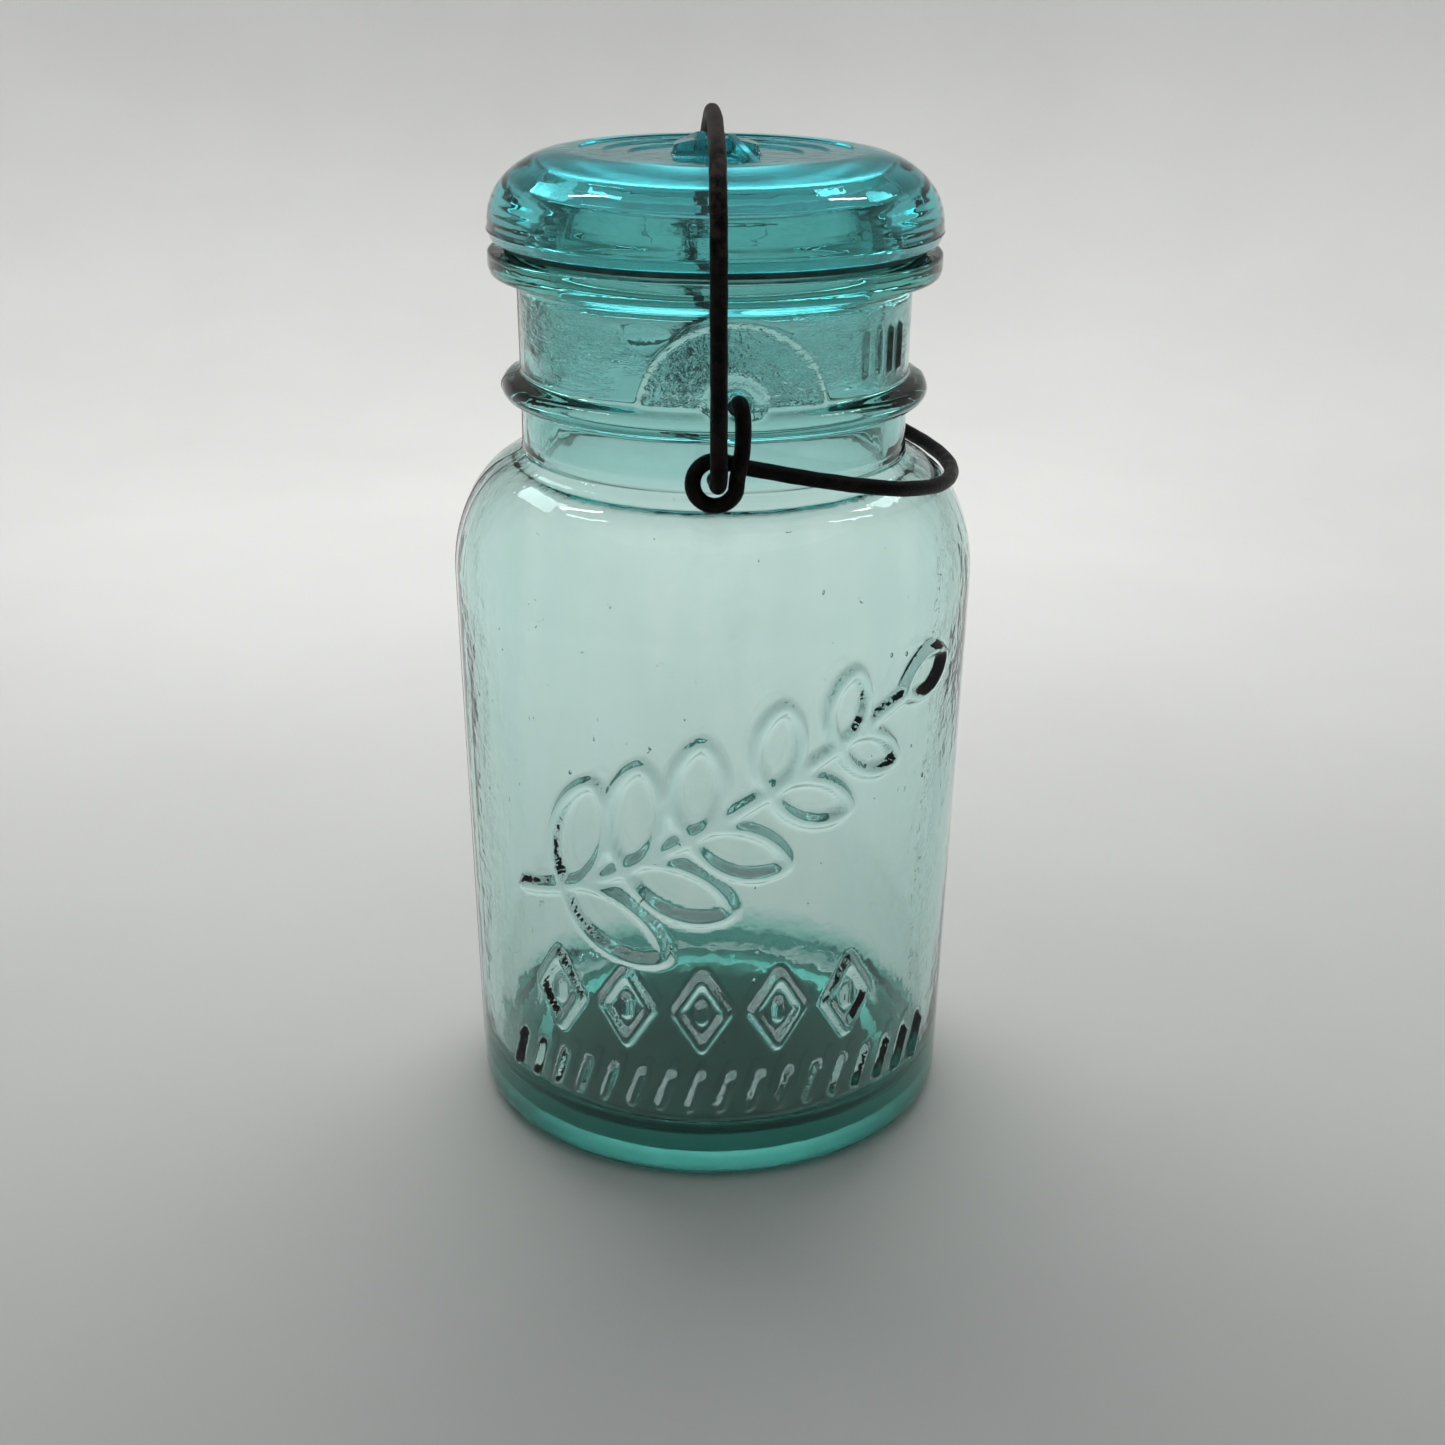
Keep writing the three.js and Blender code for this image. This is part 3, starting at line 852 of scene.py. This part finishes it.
@dataclass
class SealingRing:
    """The flat rubber ring between flange and lid. Millimetres."""

    inner_r: float = 33.2
    outer_r: float = 37.4
    low_z: float = 164.9
    high_z: float = 165.7
    edge_ripple: Unevenness = Unevenness(41, 5, 9, 1.0, 0.04)

    def shell(self) -> Shell:
        """A flat ring with softly rounded edges and a slightly uneven outer edge.

        Returns:
            The surface.
        """
        middle = (self.inner_r + self.outer_r) / 2
        line = rounded([
            (middle, self.low_z, 0), (self.outer_r, self.low_z, 0.35), (self.outer_r, self.high_z, 0.35),
            (self.inner_r, self.high_z, 0.35), (self.inner_r, self.low_z, 0.35), (middle, self.low_z, 0),
        ])
        line = subdivided(line[:-1], lambda point: np.full(len(point), 0.8 * MM))
        radius, angle, height = turned(line, np.linspace(-math.pi, math.pi, 160, endpoint=False))
        radius = radius + self.edge_ripple.at(angle, 0 * height) * MM
        return Shell.rings(placed(radius, angle, height))


# ---- Wires ----


def through(points: np.ndarray, density: int = 40) -> np.ndarray:
    """A Catmull-Rom spline through points, with knots spaced by the roots of the points' distances.

    Args:
        points: (n, 3) points.
        density: Samples on each stretch.

    Returns:
        ((n - 1) * density + 1, 3) points.
    """
    ends = np.vstack([2 * points[0] - points[1], points, 2 * points[-1] - points[-2]])
    knot = np.sqrt(np.linalg.norm(np.diff(ends, axis=0), axis=1))[:, None]
    slope = np.diff(ends, axis=0) / knot
    before, here, after = knot[:-2], knot[1:-1], knot[2:]
    chord_in = (ends[2:-1] - ends[:-3]) / (before + here)
    chord_out = (ends[3:] - ends[1:-2]) / (here + after)
    leave = (slope[:-2] - chord_in + slope[1:-1]) * here
    arrive = (slope[1:-1] - chord_out + slope[2:]) * here
    p, q = ends[1:-2][:, None], ends[2:-1][:, None]
    a, b = leave[:, None], arrive[:, None]
    t = np.linspace(0, 1, density, endpoint=False)[None, :, None]
    curve = p + a * t + (3 * (q - p) - 2 * a - b) * t**2 + (2 * (p - q) + a + b) * t**3
    return np.vstack([curve.reshape(-1, 3), points[-1:]])


@dataclass
class Wire:
    """A round wire through points, each with a direction that the wire never runs along. Millimetres."""

    points: np.ndarray
    guides: np.ndarray
    radius: float
    sides: int = 20
    pitch: float = 0.75
    dents: Unevenness = Unevenness(51, 16, 4, 5.0, 0.02)

    def shell(self) -> tuple[Shell, np.ndarray]:
        """Circles square to the curve, drawn in at the ends to round caps, with slight dents along it.

        Returns:
            The surface, and each point's place on the straightened wire: length and two offsets.
        """
        curve = through(self.points)
        steps = np.linalg.norm(np.diff(curve, axis=0), axis=1)
        length = np.concatenate([[0], np.cumsum(steps)])
        cap = self.radius * np.array([0.02, 0.1, 0.25, 0.45, 0.7])
        middle = np.linspace(self.radius, length[-1] - self.radius, int(length[-1] / self.pitch))
        at = np.concatenate([cap, middle, (length[-1] - cap)[::-1]])
        centre = np.stack([np.interp(at, length, curve[:, i]) for i in range(3)], 1)
        ahead = np.gradient(centre, at, axis=0)
        ahead /= np.linalg.norm(ahead, axis=1)[:, None]
        marks = length[::40]
        guide = np.stack([np.interp(at, marks, self.guides[:, i]) for i in range(3)], 1)
        guide -= (guide * ahead).sum(1)[:, None] * ahead
        guide /= np.linalg.norm(guide, axis=1)[:, None]
        other = np.cross(ahead, guide)
        from_end = np.minimum(np.minimum(at, length[-1] - at) / self.radius, 1)
        girth = self.radius * np.sqrt(1 - (1 - from_end) ** 2)
        turn = np.arange(self.sides) * 2 * math.pi / self.sides
        reach = girth[:, None] * (1 + self.dents.at(turn[None, :], at[:, None]))
        across, aside = reach * np.cos(turn), reach * np.sin(turn)
        rings = centre[:, None] + across[..., None] * guide[:, None] + aside[..., None] * other[:, None]
        straight = np.stack([np.repeat(at[:, None], self.sides, 1), across, aside], -1).reshape(-1, 3)
        straight = np.vstack([straight, [0, 0, 0], [length[-1], 0, 0]])
        return Shell.rings(rings * MM, (curve[0] * MM, curve[-1] * MM)), straight * MM


def both_sides(half: np.ndarray, tip: np.ndarray, other: np.ndarray) -> np.ndarray:
    """The front half, the point at its end, and the back half run backwards."""
    return np.vstack([half, tip, other[::-1]])


@dataclass
class LeverWire:
    """The lever: socket ends, crowns, legs, eyes and the handle loop. Millimetres."""

    pivot_z: float = 144.2
    wire_r: float = 1.35
    leg_y: float = 44.3
    eye: Triple = (-4, 132.7, 3.55)
    eye_turn: float = 280
    handle_start_y: float = 41.2
    handle_tip: Pair = (43.6, 125)

    def wire(self) -> Wire:
        """The path of the whole lever, front half first, with the guide directions beside it.

        Returns:
            The wire.
        """
        z, leg = self.pivot_z, self.leg_y
        leg_points = np.array([
            [0, -35.5, z], [0, -38.4, z], [0, -40.6, z + 0.9], [0, -42.6, z + 1.8], [0.25, -leg, z + 0.7],
            [0.5, -leg, z - 2], [0.4, -leg, z - 5.4], [-0.1, -leg, z - 8.6],
        ])
        eye_x, eye_z, eye_r = self.eye
        share = np.linspace(0, 1, 10)
        angle = np.radians(10 - self.eye_turn * share)
        depth = leg - (leg - self.handle_start_y) * share
        eye_points = np.stack([eye_x + eye_r * np.cos(angle), -depth, eye_z + eye_r * np.sin(angle)], 1)
        bends = np.array([[2, 41.1], [10.5, 39.7], [20.5, 36.7], [29, 32.2], [37, 23.4], [42, 11.6]])
        tip_x, tip_z = self.handle_tip
        start_z = eye_z + eye_r
        fall = (bends[:, 0] - eye_x) / (tip_x - eye_x)
        handle = np.stack([bends[:, 0], -bends[:, 1], start_z + (tip_z - start_z) * fall], 1)
        half = np.vstack([leg_points, eye_points, handle])
        counts = (len(leg_points), len(eye_points), len(handle))
        guides = np.repeat(np.array([[1.0, 0, 0], [0, 1, 0], [0, 0, 1]]), counts, axis=0)
        path = both_sides(half, np.array([tip_x, 0, tip_z]), half * (1, -1, 1))
        return Wire(path, both_sides(guides, np.array([0, 0, 1.0]), guides), self.wire_r)


@dataclass
class BailWire:
    """The bail: hooks in the lever's eyes, legs, rounded corners and the top over the lid. Millimetres."""

    wire_r: float = 1.43
    hook: Pair = (-3.7, 133.05)
    hook_tip_y: float = 39.8
    hook_bend: float = 2.4
    leg_y: float = 47.4
    reach: float = 53.35
    corner_r: float = 14
    corner_rise: float = 37.7
    lean: float = math.radians(3.7)
    twist: float = math.radians(4.7)

    def bent(self, y: np.ndarray, rise: np.ndarray) -> np.ndarray:
        """Points from their place along Y and their rise over the hooks: x is rise * sin of the lean, plus
        y * tan of the twist * the rise's share of the reach."""
        x = self.hook[0] + rise * math.sin(self.lean) + y * math.tan(self.twist) * rise / self.reach
        return np.stack([x, y, self.hook[1] + rise * math.cos(self.lean)], 1)

    def wire(self) -> Wire:
        """The path of the whole bail, front half first.

        Returns:
            The wire.
        """
        bend = np.radians([0, 30, 60, 90])
        corner = np.radians([0, 22.5, 45, 67.5, 85])
        out = np.concatenate([
            [self.hook_tip_y, self.leg_y - self.hook_bend - 1],
            self.leg_y - self.hook_bend * (1 - np.sin(bend)),
            [self.leg_y, self.leg_y],
            self.leg_y - self.corner_r * (1 - np.cos(corner)),
            [17],
        ])
        rise = np.concatenate([
            [0, 0],
            self.hook_bend * (1 - np.cos(bend)),
            [14, 26],
            self.corner_rise + self.corner_r * np.sin(corner),
            [self.reach - 0.5],
        ])
        top = self.bent(np.zeros(1), np.full(1, self.reach))
        points = both_sides(self.bent(-out, rise), top, self.bent(out, rise))
        across = np.array([math.cos(self.lean), 0, -math.sin(self.lean)])
        return Wire(points, np.tile(across, (len(points), 1)), self.wire_r)


# ---- Finishes ----


class Amount:
    """A number that varies over a surface: an output socket, with arithmetic that adds Math nodes."""

    def __init__(self, tree: "Finish", socket: bpy.types.NodeSocket) -> None:
        """Keeps the node tree and the socket."""
        self.tree = tree
        self.socket = socket

    def math(self, operation: str, first: "Amount | float", second: "Amount | float") -> "Amount":
        """One Math node of two numbers."""
        return self.tree.node("ShaderNodeMath", {"operation": operation}, {0: first, 1: second})

    def __add__(self, other: "Amount | float") -> "Amount":
        """self + other."""
        return self.math("ADD", self, other)

    def __radd__(self, other: float) -> "Amount":
        """other + self."""
        return self.math("ADD", other, self)

    def __sub__(self, other: "Amount | float") -> "Amount":
        """self - other."""
        return self.math("SUBTRACT", self, other)

    def __rsub__(self, other: float) -> "Amount":
        """other - self."""
        return self.math("SUBTRACT", other, self)

    def __mul__(self, other: "Amount | float") -> "Amount":
        """self * other."""
        return self.math("MULTIPLY", self, other)

    def __rmul__(self, other: float) -> "Amount":
        """other * self."""
        return self.math("MULTIPLY", other, self)


class Finish:
    """A material's node tree while it is built."""

    def __init__(self, name: str) -> None:
        """Starts an empty material with a Principled shader on its surface."""
        self.material = bpy.data.materials.new(name)
        self.material.use_nodes = True
        self.nodes = self.material.node_tree.nodes
        self.links = self.material.node_tree.links
        self.nodes.clear()
        self.output = self.nodes.new("ShaderNodeOutputMaterial")
        self.shader = self.nodes.new("ShaderNodeBsdfPrincipled")
        self.links.new(self.shader.outputs[0], self.output.inputs["Surface"])

    def node(
        self, kind: str, settings: dict | None = None, sockets: dict | None = None, out: int | str = 0,
    ) -> Amount:
        """Adds a node.

        Args:
            kind: The node's type.
            settings: Its own properties; "stops" are a ramp's (place, colour) pairs.
            sockets: Values or links of its input sockets, by name or number.
            out: The output to hand back.

        Returns:
            The chosen output.
        """
        made = self.nodes.new(kind)
        for key, value in (settings or {}).items():
            if key == "stops":
                self.fill_ramp(made.color_ramp, value)
            else:
                setattr(made, key, value)
        for key, value in (sockets or {}).items():
            self.feed(made.inputs[key], value)
        return Amount(self, made.outputs[out])

    @staticmethod
    def fill_ramp(ramp: bpy.types.ColorRamp, stops: Sequence[tuple[float, Colour]]) -> None:
        """Gives a colour ramp its stops.

        Args:
            ramp: The ramp.
            stops: (place, colour) pairs.
        """
        while len(ramp.elements) < len(stops):
            ramp.elements.new(0.5)
        for element, (place, colour) in zip(ramp.elements, stops, strict=True):
            element.position = place
            element.color = (*colour, 1)

    def feed(self, socket: bpy.types.NodeSocket, value: "Amount | float | Sequence[float]") -> None:
        """Links an Amount to a socket, or sets the socket's own value."""
        if isinstance(value, Amount):
            self.links.new(value.socket, socket)
        else:
            socket.default_value = value

    def dress(self, sockets: dict) -> None:
        """Feeds the shader's own sockets, by name."""
        for key, value in sockets.items():
            self.feed(self.shader.inputs[key], value)

    def place(self, scale: Colour = (1, 1, 1)) -> Amount:
        """Object coordinates, stretched by a scale."""
        spot = self.node("ShaderNodeTexCoord", out="Object")
        return self.node("ShaderNodeMapping", {}, {"Vector": spot, "Scale": scale})

    def vector(self, operation: str, first: Amount, second: Triple = (0, 0, 0), out: int | str = 0) -> Amount:
        """One Vector Math node."""
        return self.node("ShaderNodeVectorMath", {"operation": operation}, {0: first, 1: second}, out)

    def noise(
        self, spot: Amount, scale: float, detail: float = 3, rough: float = 0.5, warp: float = 0,
    ) -> Amount:
        """A noise texture's value, about 0.5."""
        sockets = {"Vector": spot, "Scale": scale, "Detail": detail, "Roughness": rough, "Distortion": warp}
        return self.node("ShaderNodeTexNoise", {}, sockets)

    def ranged(self, value: Amount, low: float, high: float, to_low: float = 0, to_high: float = 1) -> Amount:
        """value carried from the range low..high to to_low..to_high, held at its ends."""
        return self.node("ShaderNodeMapRange", {}, {0: value, 1: low, 2: high, 3: to_low, 4: to_high})

    def height_of(self, spot: Amount) -> Amount:
        """The Z of a position."""
        return self.node("ShaderNodeSeparateXYZ", {}, {"Vector": spot}, "Z")

    def mixed(
        self, share: Amount, first: Amount | Sequence[float], second: Amount | Sequence[float],
    ) -> Amount:
        """A colour mixed from two."""
        return self.node("ShaderNodeMix", {"data_type": "RGBA"}, {0: share, 6: first, 7: second}, 2)

    def bump(self, height: Amount, distance: float, strength: float = 1) -> Amount:
        """A normal bent by a height."""
        return self.node("ShaderNodeBump", {}, {"Height": height, "Distance": distance, "Strength": strength})


@dataclass(frozen=True)
class PressedGlass:
    """Clear blue-green pressed glass: colour from its thickness, streaks, ripples, dull patches.

    Attributes:
        name: The material's name.
        absorbing: Colour that light keeps on its way through the glass.
        density: How fast it takes on that colour, per metre.
        ripple: Depth of the surface's ripples.
        tints: (height it starts at, height it is full at, colour), each mixed over the tone.
        neck: Lowest and highest point of the neck's chill lines; none if the two are alike.
        pad_centre: Middle of the round pads, taken flat along Y.
        pad_r: Their radius.
        dull_inside: Radius and height within which the glass is rough, and how rough.
    """

    name: str
    absorbing: Colour
    density: float
    ripple: float
    tints: tuple[tuple[float, float, Colour], ...] = ()
    neck: Pair = (0, 0)
    pad_centre: Triple = (0, 0, 0.1416)
    pad_r: float = 0.0158
    dull_inside: Triple = (0.05, 0.0022, 0.45)

    def neck_relief(self, finish: Finish, spot: Amount, height: Amount) -> Amount:
        """Chill lines in patches on the neck, and the hammered faces of the round pads.

        Args:
            finish: The tree that the nodes go into.
            spot: Object coordinates.
            height: Their Z.

        Returns:
            A relief for the bump.
        """
        low, high = self.neck
        on_neck = finish.ranged(height, low, low + 0.003) * finish.ranged(height, high - 0.002, high, 1, 0)
        patches = finish.ranged(finish.noise(finish.place((1, 1, 1.6)), 48, 2), 0.46, 0.62)
        lines = finish.noise(finish.place((0.35, 0.35, 1.5)), 620, 3, 0.6, 0.6)
        flat = finish.vector("MULTIPLY", spot, (1, 0, 1))
        reach = finish.vector("DISTANCE", flat, self.pad_centre, "Value")
        on_pad = finish.ranged(reach, self.pad_r - 0.001, self.pad_r, 1, 0)
        hammered = finish.noise(spot, 430, 3, 0.55, 0.8)
        return (lines * patches * 3.2 + hammered * on_pad * 2.6) * on_neck

    def material(self) -> bpy.types.Material:
        """The node tree.

        Returns:
            The finished material.
        """
        finish = Finish(self.name)
        spot = finish.place()
        drawn = finish.place((1, 1, 0.22))
        streak = finish.noise(drawn, 130, 4, 0.6)
        cloud = finish.noise(spot, 22, 2, 0.5)
        ripple = finish.noise(drawn, 90, 3, 0.5, 0.4) * 0.6 + finish.noise(spot, 260, 2, 0.5) * 0.4
        height = finish.height_of(spot)
        if self.neck[1] > self.neck[0]:
            ripple = ripple + self.neck_relief(finish, spot, height)
        tone = finish.mixed(finish.ranged(streak, 0.35, 0.7), (0.93, 0.965, 0.955, 1), (1, 1, 1, 1))
        for start, end, tint in self.tints:
            tone = finish.mixed(finish.ranged(height, start, end), tone, (*tint, 1))
        dull = finish.ranged(cloud, 0.6, 0.78, 0, 0.035) + finish.ranged(streak, 0.6, 0.8, 0, 0.02)
        near, below, rough = self.dull_inside
        radius = finish.vector("LENGTH", finish.vector("MULTIPLY", spot, (1, 1, 0)), out="Value")
        inside = finish.ranged(radius, near, near - 0.0008) * finish.ranged(height, below, below - 0.0004)
        dull = dull + inside * rough
        normal = finish.bump(ripple, self.ripple)
        finish.dress({"Base Color": tone, "Roughness": dull + 0.004, "Normal": normal})
        finish.dress({"IOR": 1.51, "Transmission Weight": 1})
        volume = finish.nodes.new("ShaderNodeVolumeAbsorption")
        volume.inputs["Color"].default_value = (*self.absorbing, 1)
        volume.inputs["Density"].default_value = self.density
        finish.links.new(volume.outputs[0], finish.output.inputs["Volume"])
        return finish.material


@dataclass(frozen=True)
class AgedRubber:
    """Aged grey-green rubber: matt, slightly mottled, with fine pores."""

    name: str
    dark: Colour = (0.03, 0.06, 0.055)
    pale: Colour = (0.09, 0.15, 0.14)

    def material(self) -> bpy.types.Material:
        """The node tree.

        Returns:
            The finished material.
        """
        finish = Finish(self.name)
        spot = finish.place()
        mottle = finish.noise(spot, 160, 4, 0.6)
        pores = finish.noise(spot, 1500, 2, 0.5)
        colour = finish.mixed(finish.ranged(mottle, 0.35, 0.7), (*self.dark, 1), (*self.pale, 1))
        normal = finish.bump(mottle + pores * 0.4, 0.00012)
        finish.dress({"Base Color": colour, "Roughness": mottle * 0.2 + 0.66, "Normal": normal})
        return finish.material


@dataclass(frozen=True)
class AgedWire:
    """Nearly black oxidised steel wire with worn lines and pits, and brown mottling: a little everywhere as
    rust, and much more above a height as painted light on the top of the wire.
    """

    name: str
    painted_light_from: float
    painted_light_to: float
    black: Colour = (0.0022, 0.0026, 0.0026)
    grey: Colour = (0.017, 0.0165, 0.0155)
    brown: Colour = (0.1, 0.07, 0.056)

    def material(self) -> bpy.types.Material:
        """The node tree, on the straightened wire's own coordinates.

        Returns:
            The finished material.
        """
        finish = Finish(self.name)
        straight = finish.node("ShaderNodeAttribute", {"attribute_name": "straight"}, out="Vector")
        lengthways = finish.node("ShaderNodeMapping", {}, {"Vector": straight, "Scale": (0.12, 1, 1)})
        drawn = finish.noise(lengthways, 1900, 3, 0.6)
        mottle = finish.noise(straight, 420, 5, 0.65)
        pits = finish.noise(straight, 1500, 3, 0.6)
        blotch = finish.noise(straight, 95, 3, 0.55)
        height = finish.height_of(finish.place())
        # Brown share: 0.08 of rust everywhere, plus painted light that grows between the two heights on the
        # top of the wire; the same share makes that top rougher and less metallic.
        rust_and_painted_light = finish.ranged(height, self.painted_light_from, self.painted_light_to) * 0.75 + 0.08
        worn = finish.ranged(blotch, 0.4, 0.66) * finish.ranged(mottle, 0.42, 0.62)
        base = finish.mixed(worn * 0.55, (*self.black, 1), (*self.grey, 1))
        colour = finish.mixed(finish.ranged(mottle, 0.44, 0.64) * rust_and_painted_light, base, (*self.brown, 1))
        rough = 0.36 + finish.ranged(mottle, 0.35, 0.7) * 0.26 + rust_and_painted_light * 0.12
        relief = drawn * 0.35 + mottle * 0.5 + finish.ranged(pits, 0.3, 0.46) * 0.6
        finish.dress({"Base Color": colour, "Roughness": rough, "Metallic": 0.55 - rust_and_painted_light * 0.2})
        finish.dress({"Normal": finish.bump(relief, 0.00009), "Specular IOR Level": 0.16})
        return finish.material


@dataclass(frozen=True)
class PaleFloor:
    """A plain pale matt floor with a barely uneven tone."""

    name: str = "pale_floor"
    tone: Colour = (0.62, 0.62, 0.6)

    def material(self) -> bpy.types.Material:
        """The node tree.

        Returns:
            The finished material.
        """
        finish = Finish(self.name)
        cloud = finish.noise(finish.place(), 9, 4, 0.55)
        darker = tuple(0.95 * part for part in self.tone)
        colour = finish.mixed(finish.ranged(cloud, 0.3, 0.7), (*darker, 1), (*self.tone, 1))
        finish.dress({"Base Color": colour, "Roughness": 0.75 + cloud * 0.1})
        return finish.material


# ---- Studio ----


@dataclass(frozen=True)
class Lamp:
    """A rectangular area light. Metres.

    Attributes:
        name: Its name.
        place: Where it hangs.
        aim: The point it faces.
        size: Width and depth.
        watts: Its power.
        hidden: The setting that hides it from one kind of ray.
        turn: Turn about its own axis, in radians.
    """

    name: str
    place: Triple
    aim: Triple
    size: Pair
    watts: float
    hidden: str
    turn: float = 0

    def build(self) -> None:
        """Makes the light."""
        light = bpy.data.lights.new(self.name, "AREA")
        light.shape = "RECTANGLE"
        light.size, light.size_y = self.size
        light.energy = self.watts
        made = bpy.data.objects.new(self.name, light)
        bpy.context.scene.collection.objects.link(made)
        facing = (Vector(self.aim) - Vector(self.place)).to_track_quat("-Z", "Y").to_matrix()
        facing = facing @ Matrix.Rotation(self.turn, 3, "Z")
        made.matrix_world = Matrix.Translation(self.place) @ facing.to_4x4()
        setattr(made, self.hidden, False)


@dataclass
class Studio:
    """A round pale sweep, soft light from above and behind, two narrow lamps, and the camera. Metres."""

    floor_r: float = 0.5
    sweep_r: float = 0.5
    wall_top: float = 1.1
    eye: Triple = (-0.0357, -0.3712, 0.2213)
    gaze: Triple = (0.0940, 0.9251, -0.3680)
    roll: float = math.radians(0.51)
    lens: float = 51.6
    sky: Colour = (0.86, 0.9, 0.93)
    sky_strength: float = 0.45
    lamps: Sequence[Lamp] = (
        Lamp("soft_back", (0, 0.42, 0.5), (0, 0.34, 0), (0.9, 0.34), 4.2, "visible_glossy"),
        Lamp("strip_left", (-0.61, 0.29, 1.0), (-0.61, 0.29, 0), (0.045, 0.36), 1.1, "visible_diffuse", 0.85),
        Lamp("strip_right", (0.69, 0.18, 1.0), (0.69, 0.18, 0), (0.045, 0.36), 1.1, "visible_diffuse", -0.85),
    )

    def sweep(self) -> None:
        """A flat disc that rises into a wall all round: a line, a quarter circle and a line, turned."""
        rise = quarter((self.floor_r / MM, self.sweep_r / MM), (self.sweep_r / MM,) * 2, (-1, 0), 40)
        top = np.array([[self.floor_r + self.sweep_r, self.wall_top]])
        line = subdivided(np.vstack([[[0.01, 0]], rise, top]), lambda point: np.full(len(point), 0.03))
        back = line[::-1] + np.array([0.02, -0.02])
        angles = np.linspace(-math.pi, math.pi, 128, endpoint=False)
        rings = placed(*turned(np.vstack([line, back]), angles))
        shell = Shell.rings(rings, (np.zeros(3), np.array([0, 0, -0.02])))
        shell.points = shell.points - np.array([0, 0, 0.0002])
        shell.object("floor", PaleFloor().material())

    def camera(self) -> None:
        """The camera, looking down at the jar from the front."""
        made = bpy.data.objects.new("camera", bpy.data.cameras.new("camera"))
        bpy.context.scene.collection.objects.link(made)
        turn = Vector(self.gaze).to_track_quat("-Z", "Y").to_matrix() @ Matrix.Rotation(self.roll, 3, "Z")
        made.matrix_world = Matrix.Translation(self.eye) @ turn.to_4x4()
        made.data.lens = self.lens
        made.data.sensor_width = 36
        made.data.clip_start = 0.01
        bpy.context.scene.camera = made

    def build(self) -> None:
        """Makes the sweep, the lights, the world and the camera."""
        self.sweep()
        self.camera()
        for lamp in self.lamps:
            lamp.build()
        world = bpy.data.worlds.new("room")
        world.use_nodes = True
        sky = world.node_tree.nodes["Background"].inputs
        sky["Color"].default_value = (*self.sky, 1)
        sky["Strength"].default_value = self.sky_strength
        bpy.context.scene.world = world
        bpy.context.scene.view_settings.view_transform = "Standard"
        log.info("studio: sweep to %.2f m, %.1f mm lens", self.floor_r + self.sweep_r, self.lens)


def main() -> None:
    """Builds the studio and the five pieces."""
    logging.basicConfig(level=logging.INFO, format="%(name)s: %(message)s")
    Studio().build()

    jar_low, jar_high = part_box("jar_body")
    lid_low, lid_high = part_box("glass_lid")
    jar_tints_and_heel_shade = (
        (0.1265, 0.1315, (0.55, 0.78, 0.78)),
        # The last two entries darken the jar towards its bottom. The near-black teal below 4.8 mm is painted
        # shade: the contact shadow where the heel meets the floor.
        (0.013, 0.008, (0.4, 0.74, 0.68)),
        (0.0072, 0.0048, (0.07, 0.24, 0.22)),
    )
    lid_tints = ((0.172, 0.179, (0.3, 0.74, 0.8)),)
    jar_glass = PressedGlass("jar_glass", (0.0, 0.745, 0.68), 47, 0.00014, jar_tints_and_heel_shade, (0.1425, 0.159))
    lid_glass = PressedGlass(
        "lid_glass", (0.0, 0.8, 0.82), 110, 0.0001, lid_tints, dull_inside=(0.0305, 0.1785, 0.3),
    )

    jar = JarBody(wall_top_r=(jar_high.x - jar_low.x) / 2 / MM, lip_top_z=jar_high.z / MM)
    jar.shell().piece("jar_glass_body", Body.JAR, "jar_body", "jar_glass", jar_glass.material())

    rubber = AgedRubber("ring_rubber").material()
    SealingRing().shell().piece("rubber_ring", Body.JAR, "sealing_ring", "ring_rubber", rubber)

    lid = GlassLid(rim_r=(lid_high.x - lid_low.x) / 2 / MM, foot_z=lid_low.z / MM)
    lid.shell().piece("lid_glass_cap", Body.LID, "glass_lid", "lid_glass", lid_glass.material())

    # Each wire's two heights are where the painted light on its top starts and is full. The lever lies below
    # both of its heights, so only the bail's top gets this light.
    for name, maker, body, brown in (
        ("lever", LeverWire(), Body.LEVER, (0.2, 0.25)),
        ("bail", BailWire(), Body.BAIL, (0.166, 0.184)),
    ):
        shell, straight = maker.wire().shell()
        finish = AgedWire(f"{name}_steel", *brown).material()
        made = shell.piece(f"{name}_round_wire", body, f"{name}_wire", f"{name}_steel", finish)
        attribute = made.data.attributes.new("straight", "FLOAT_VECTOR", "POINT")
        attribute.data.foreach_set("vector", straight.astype(np.float32).ravel())


if __name__ == "__main__":
    main()
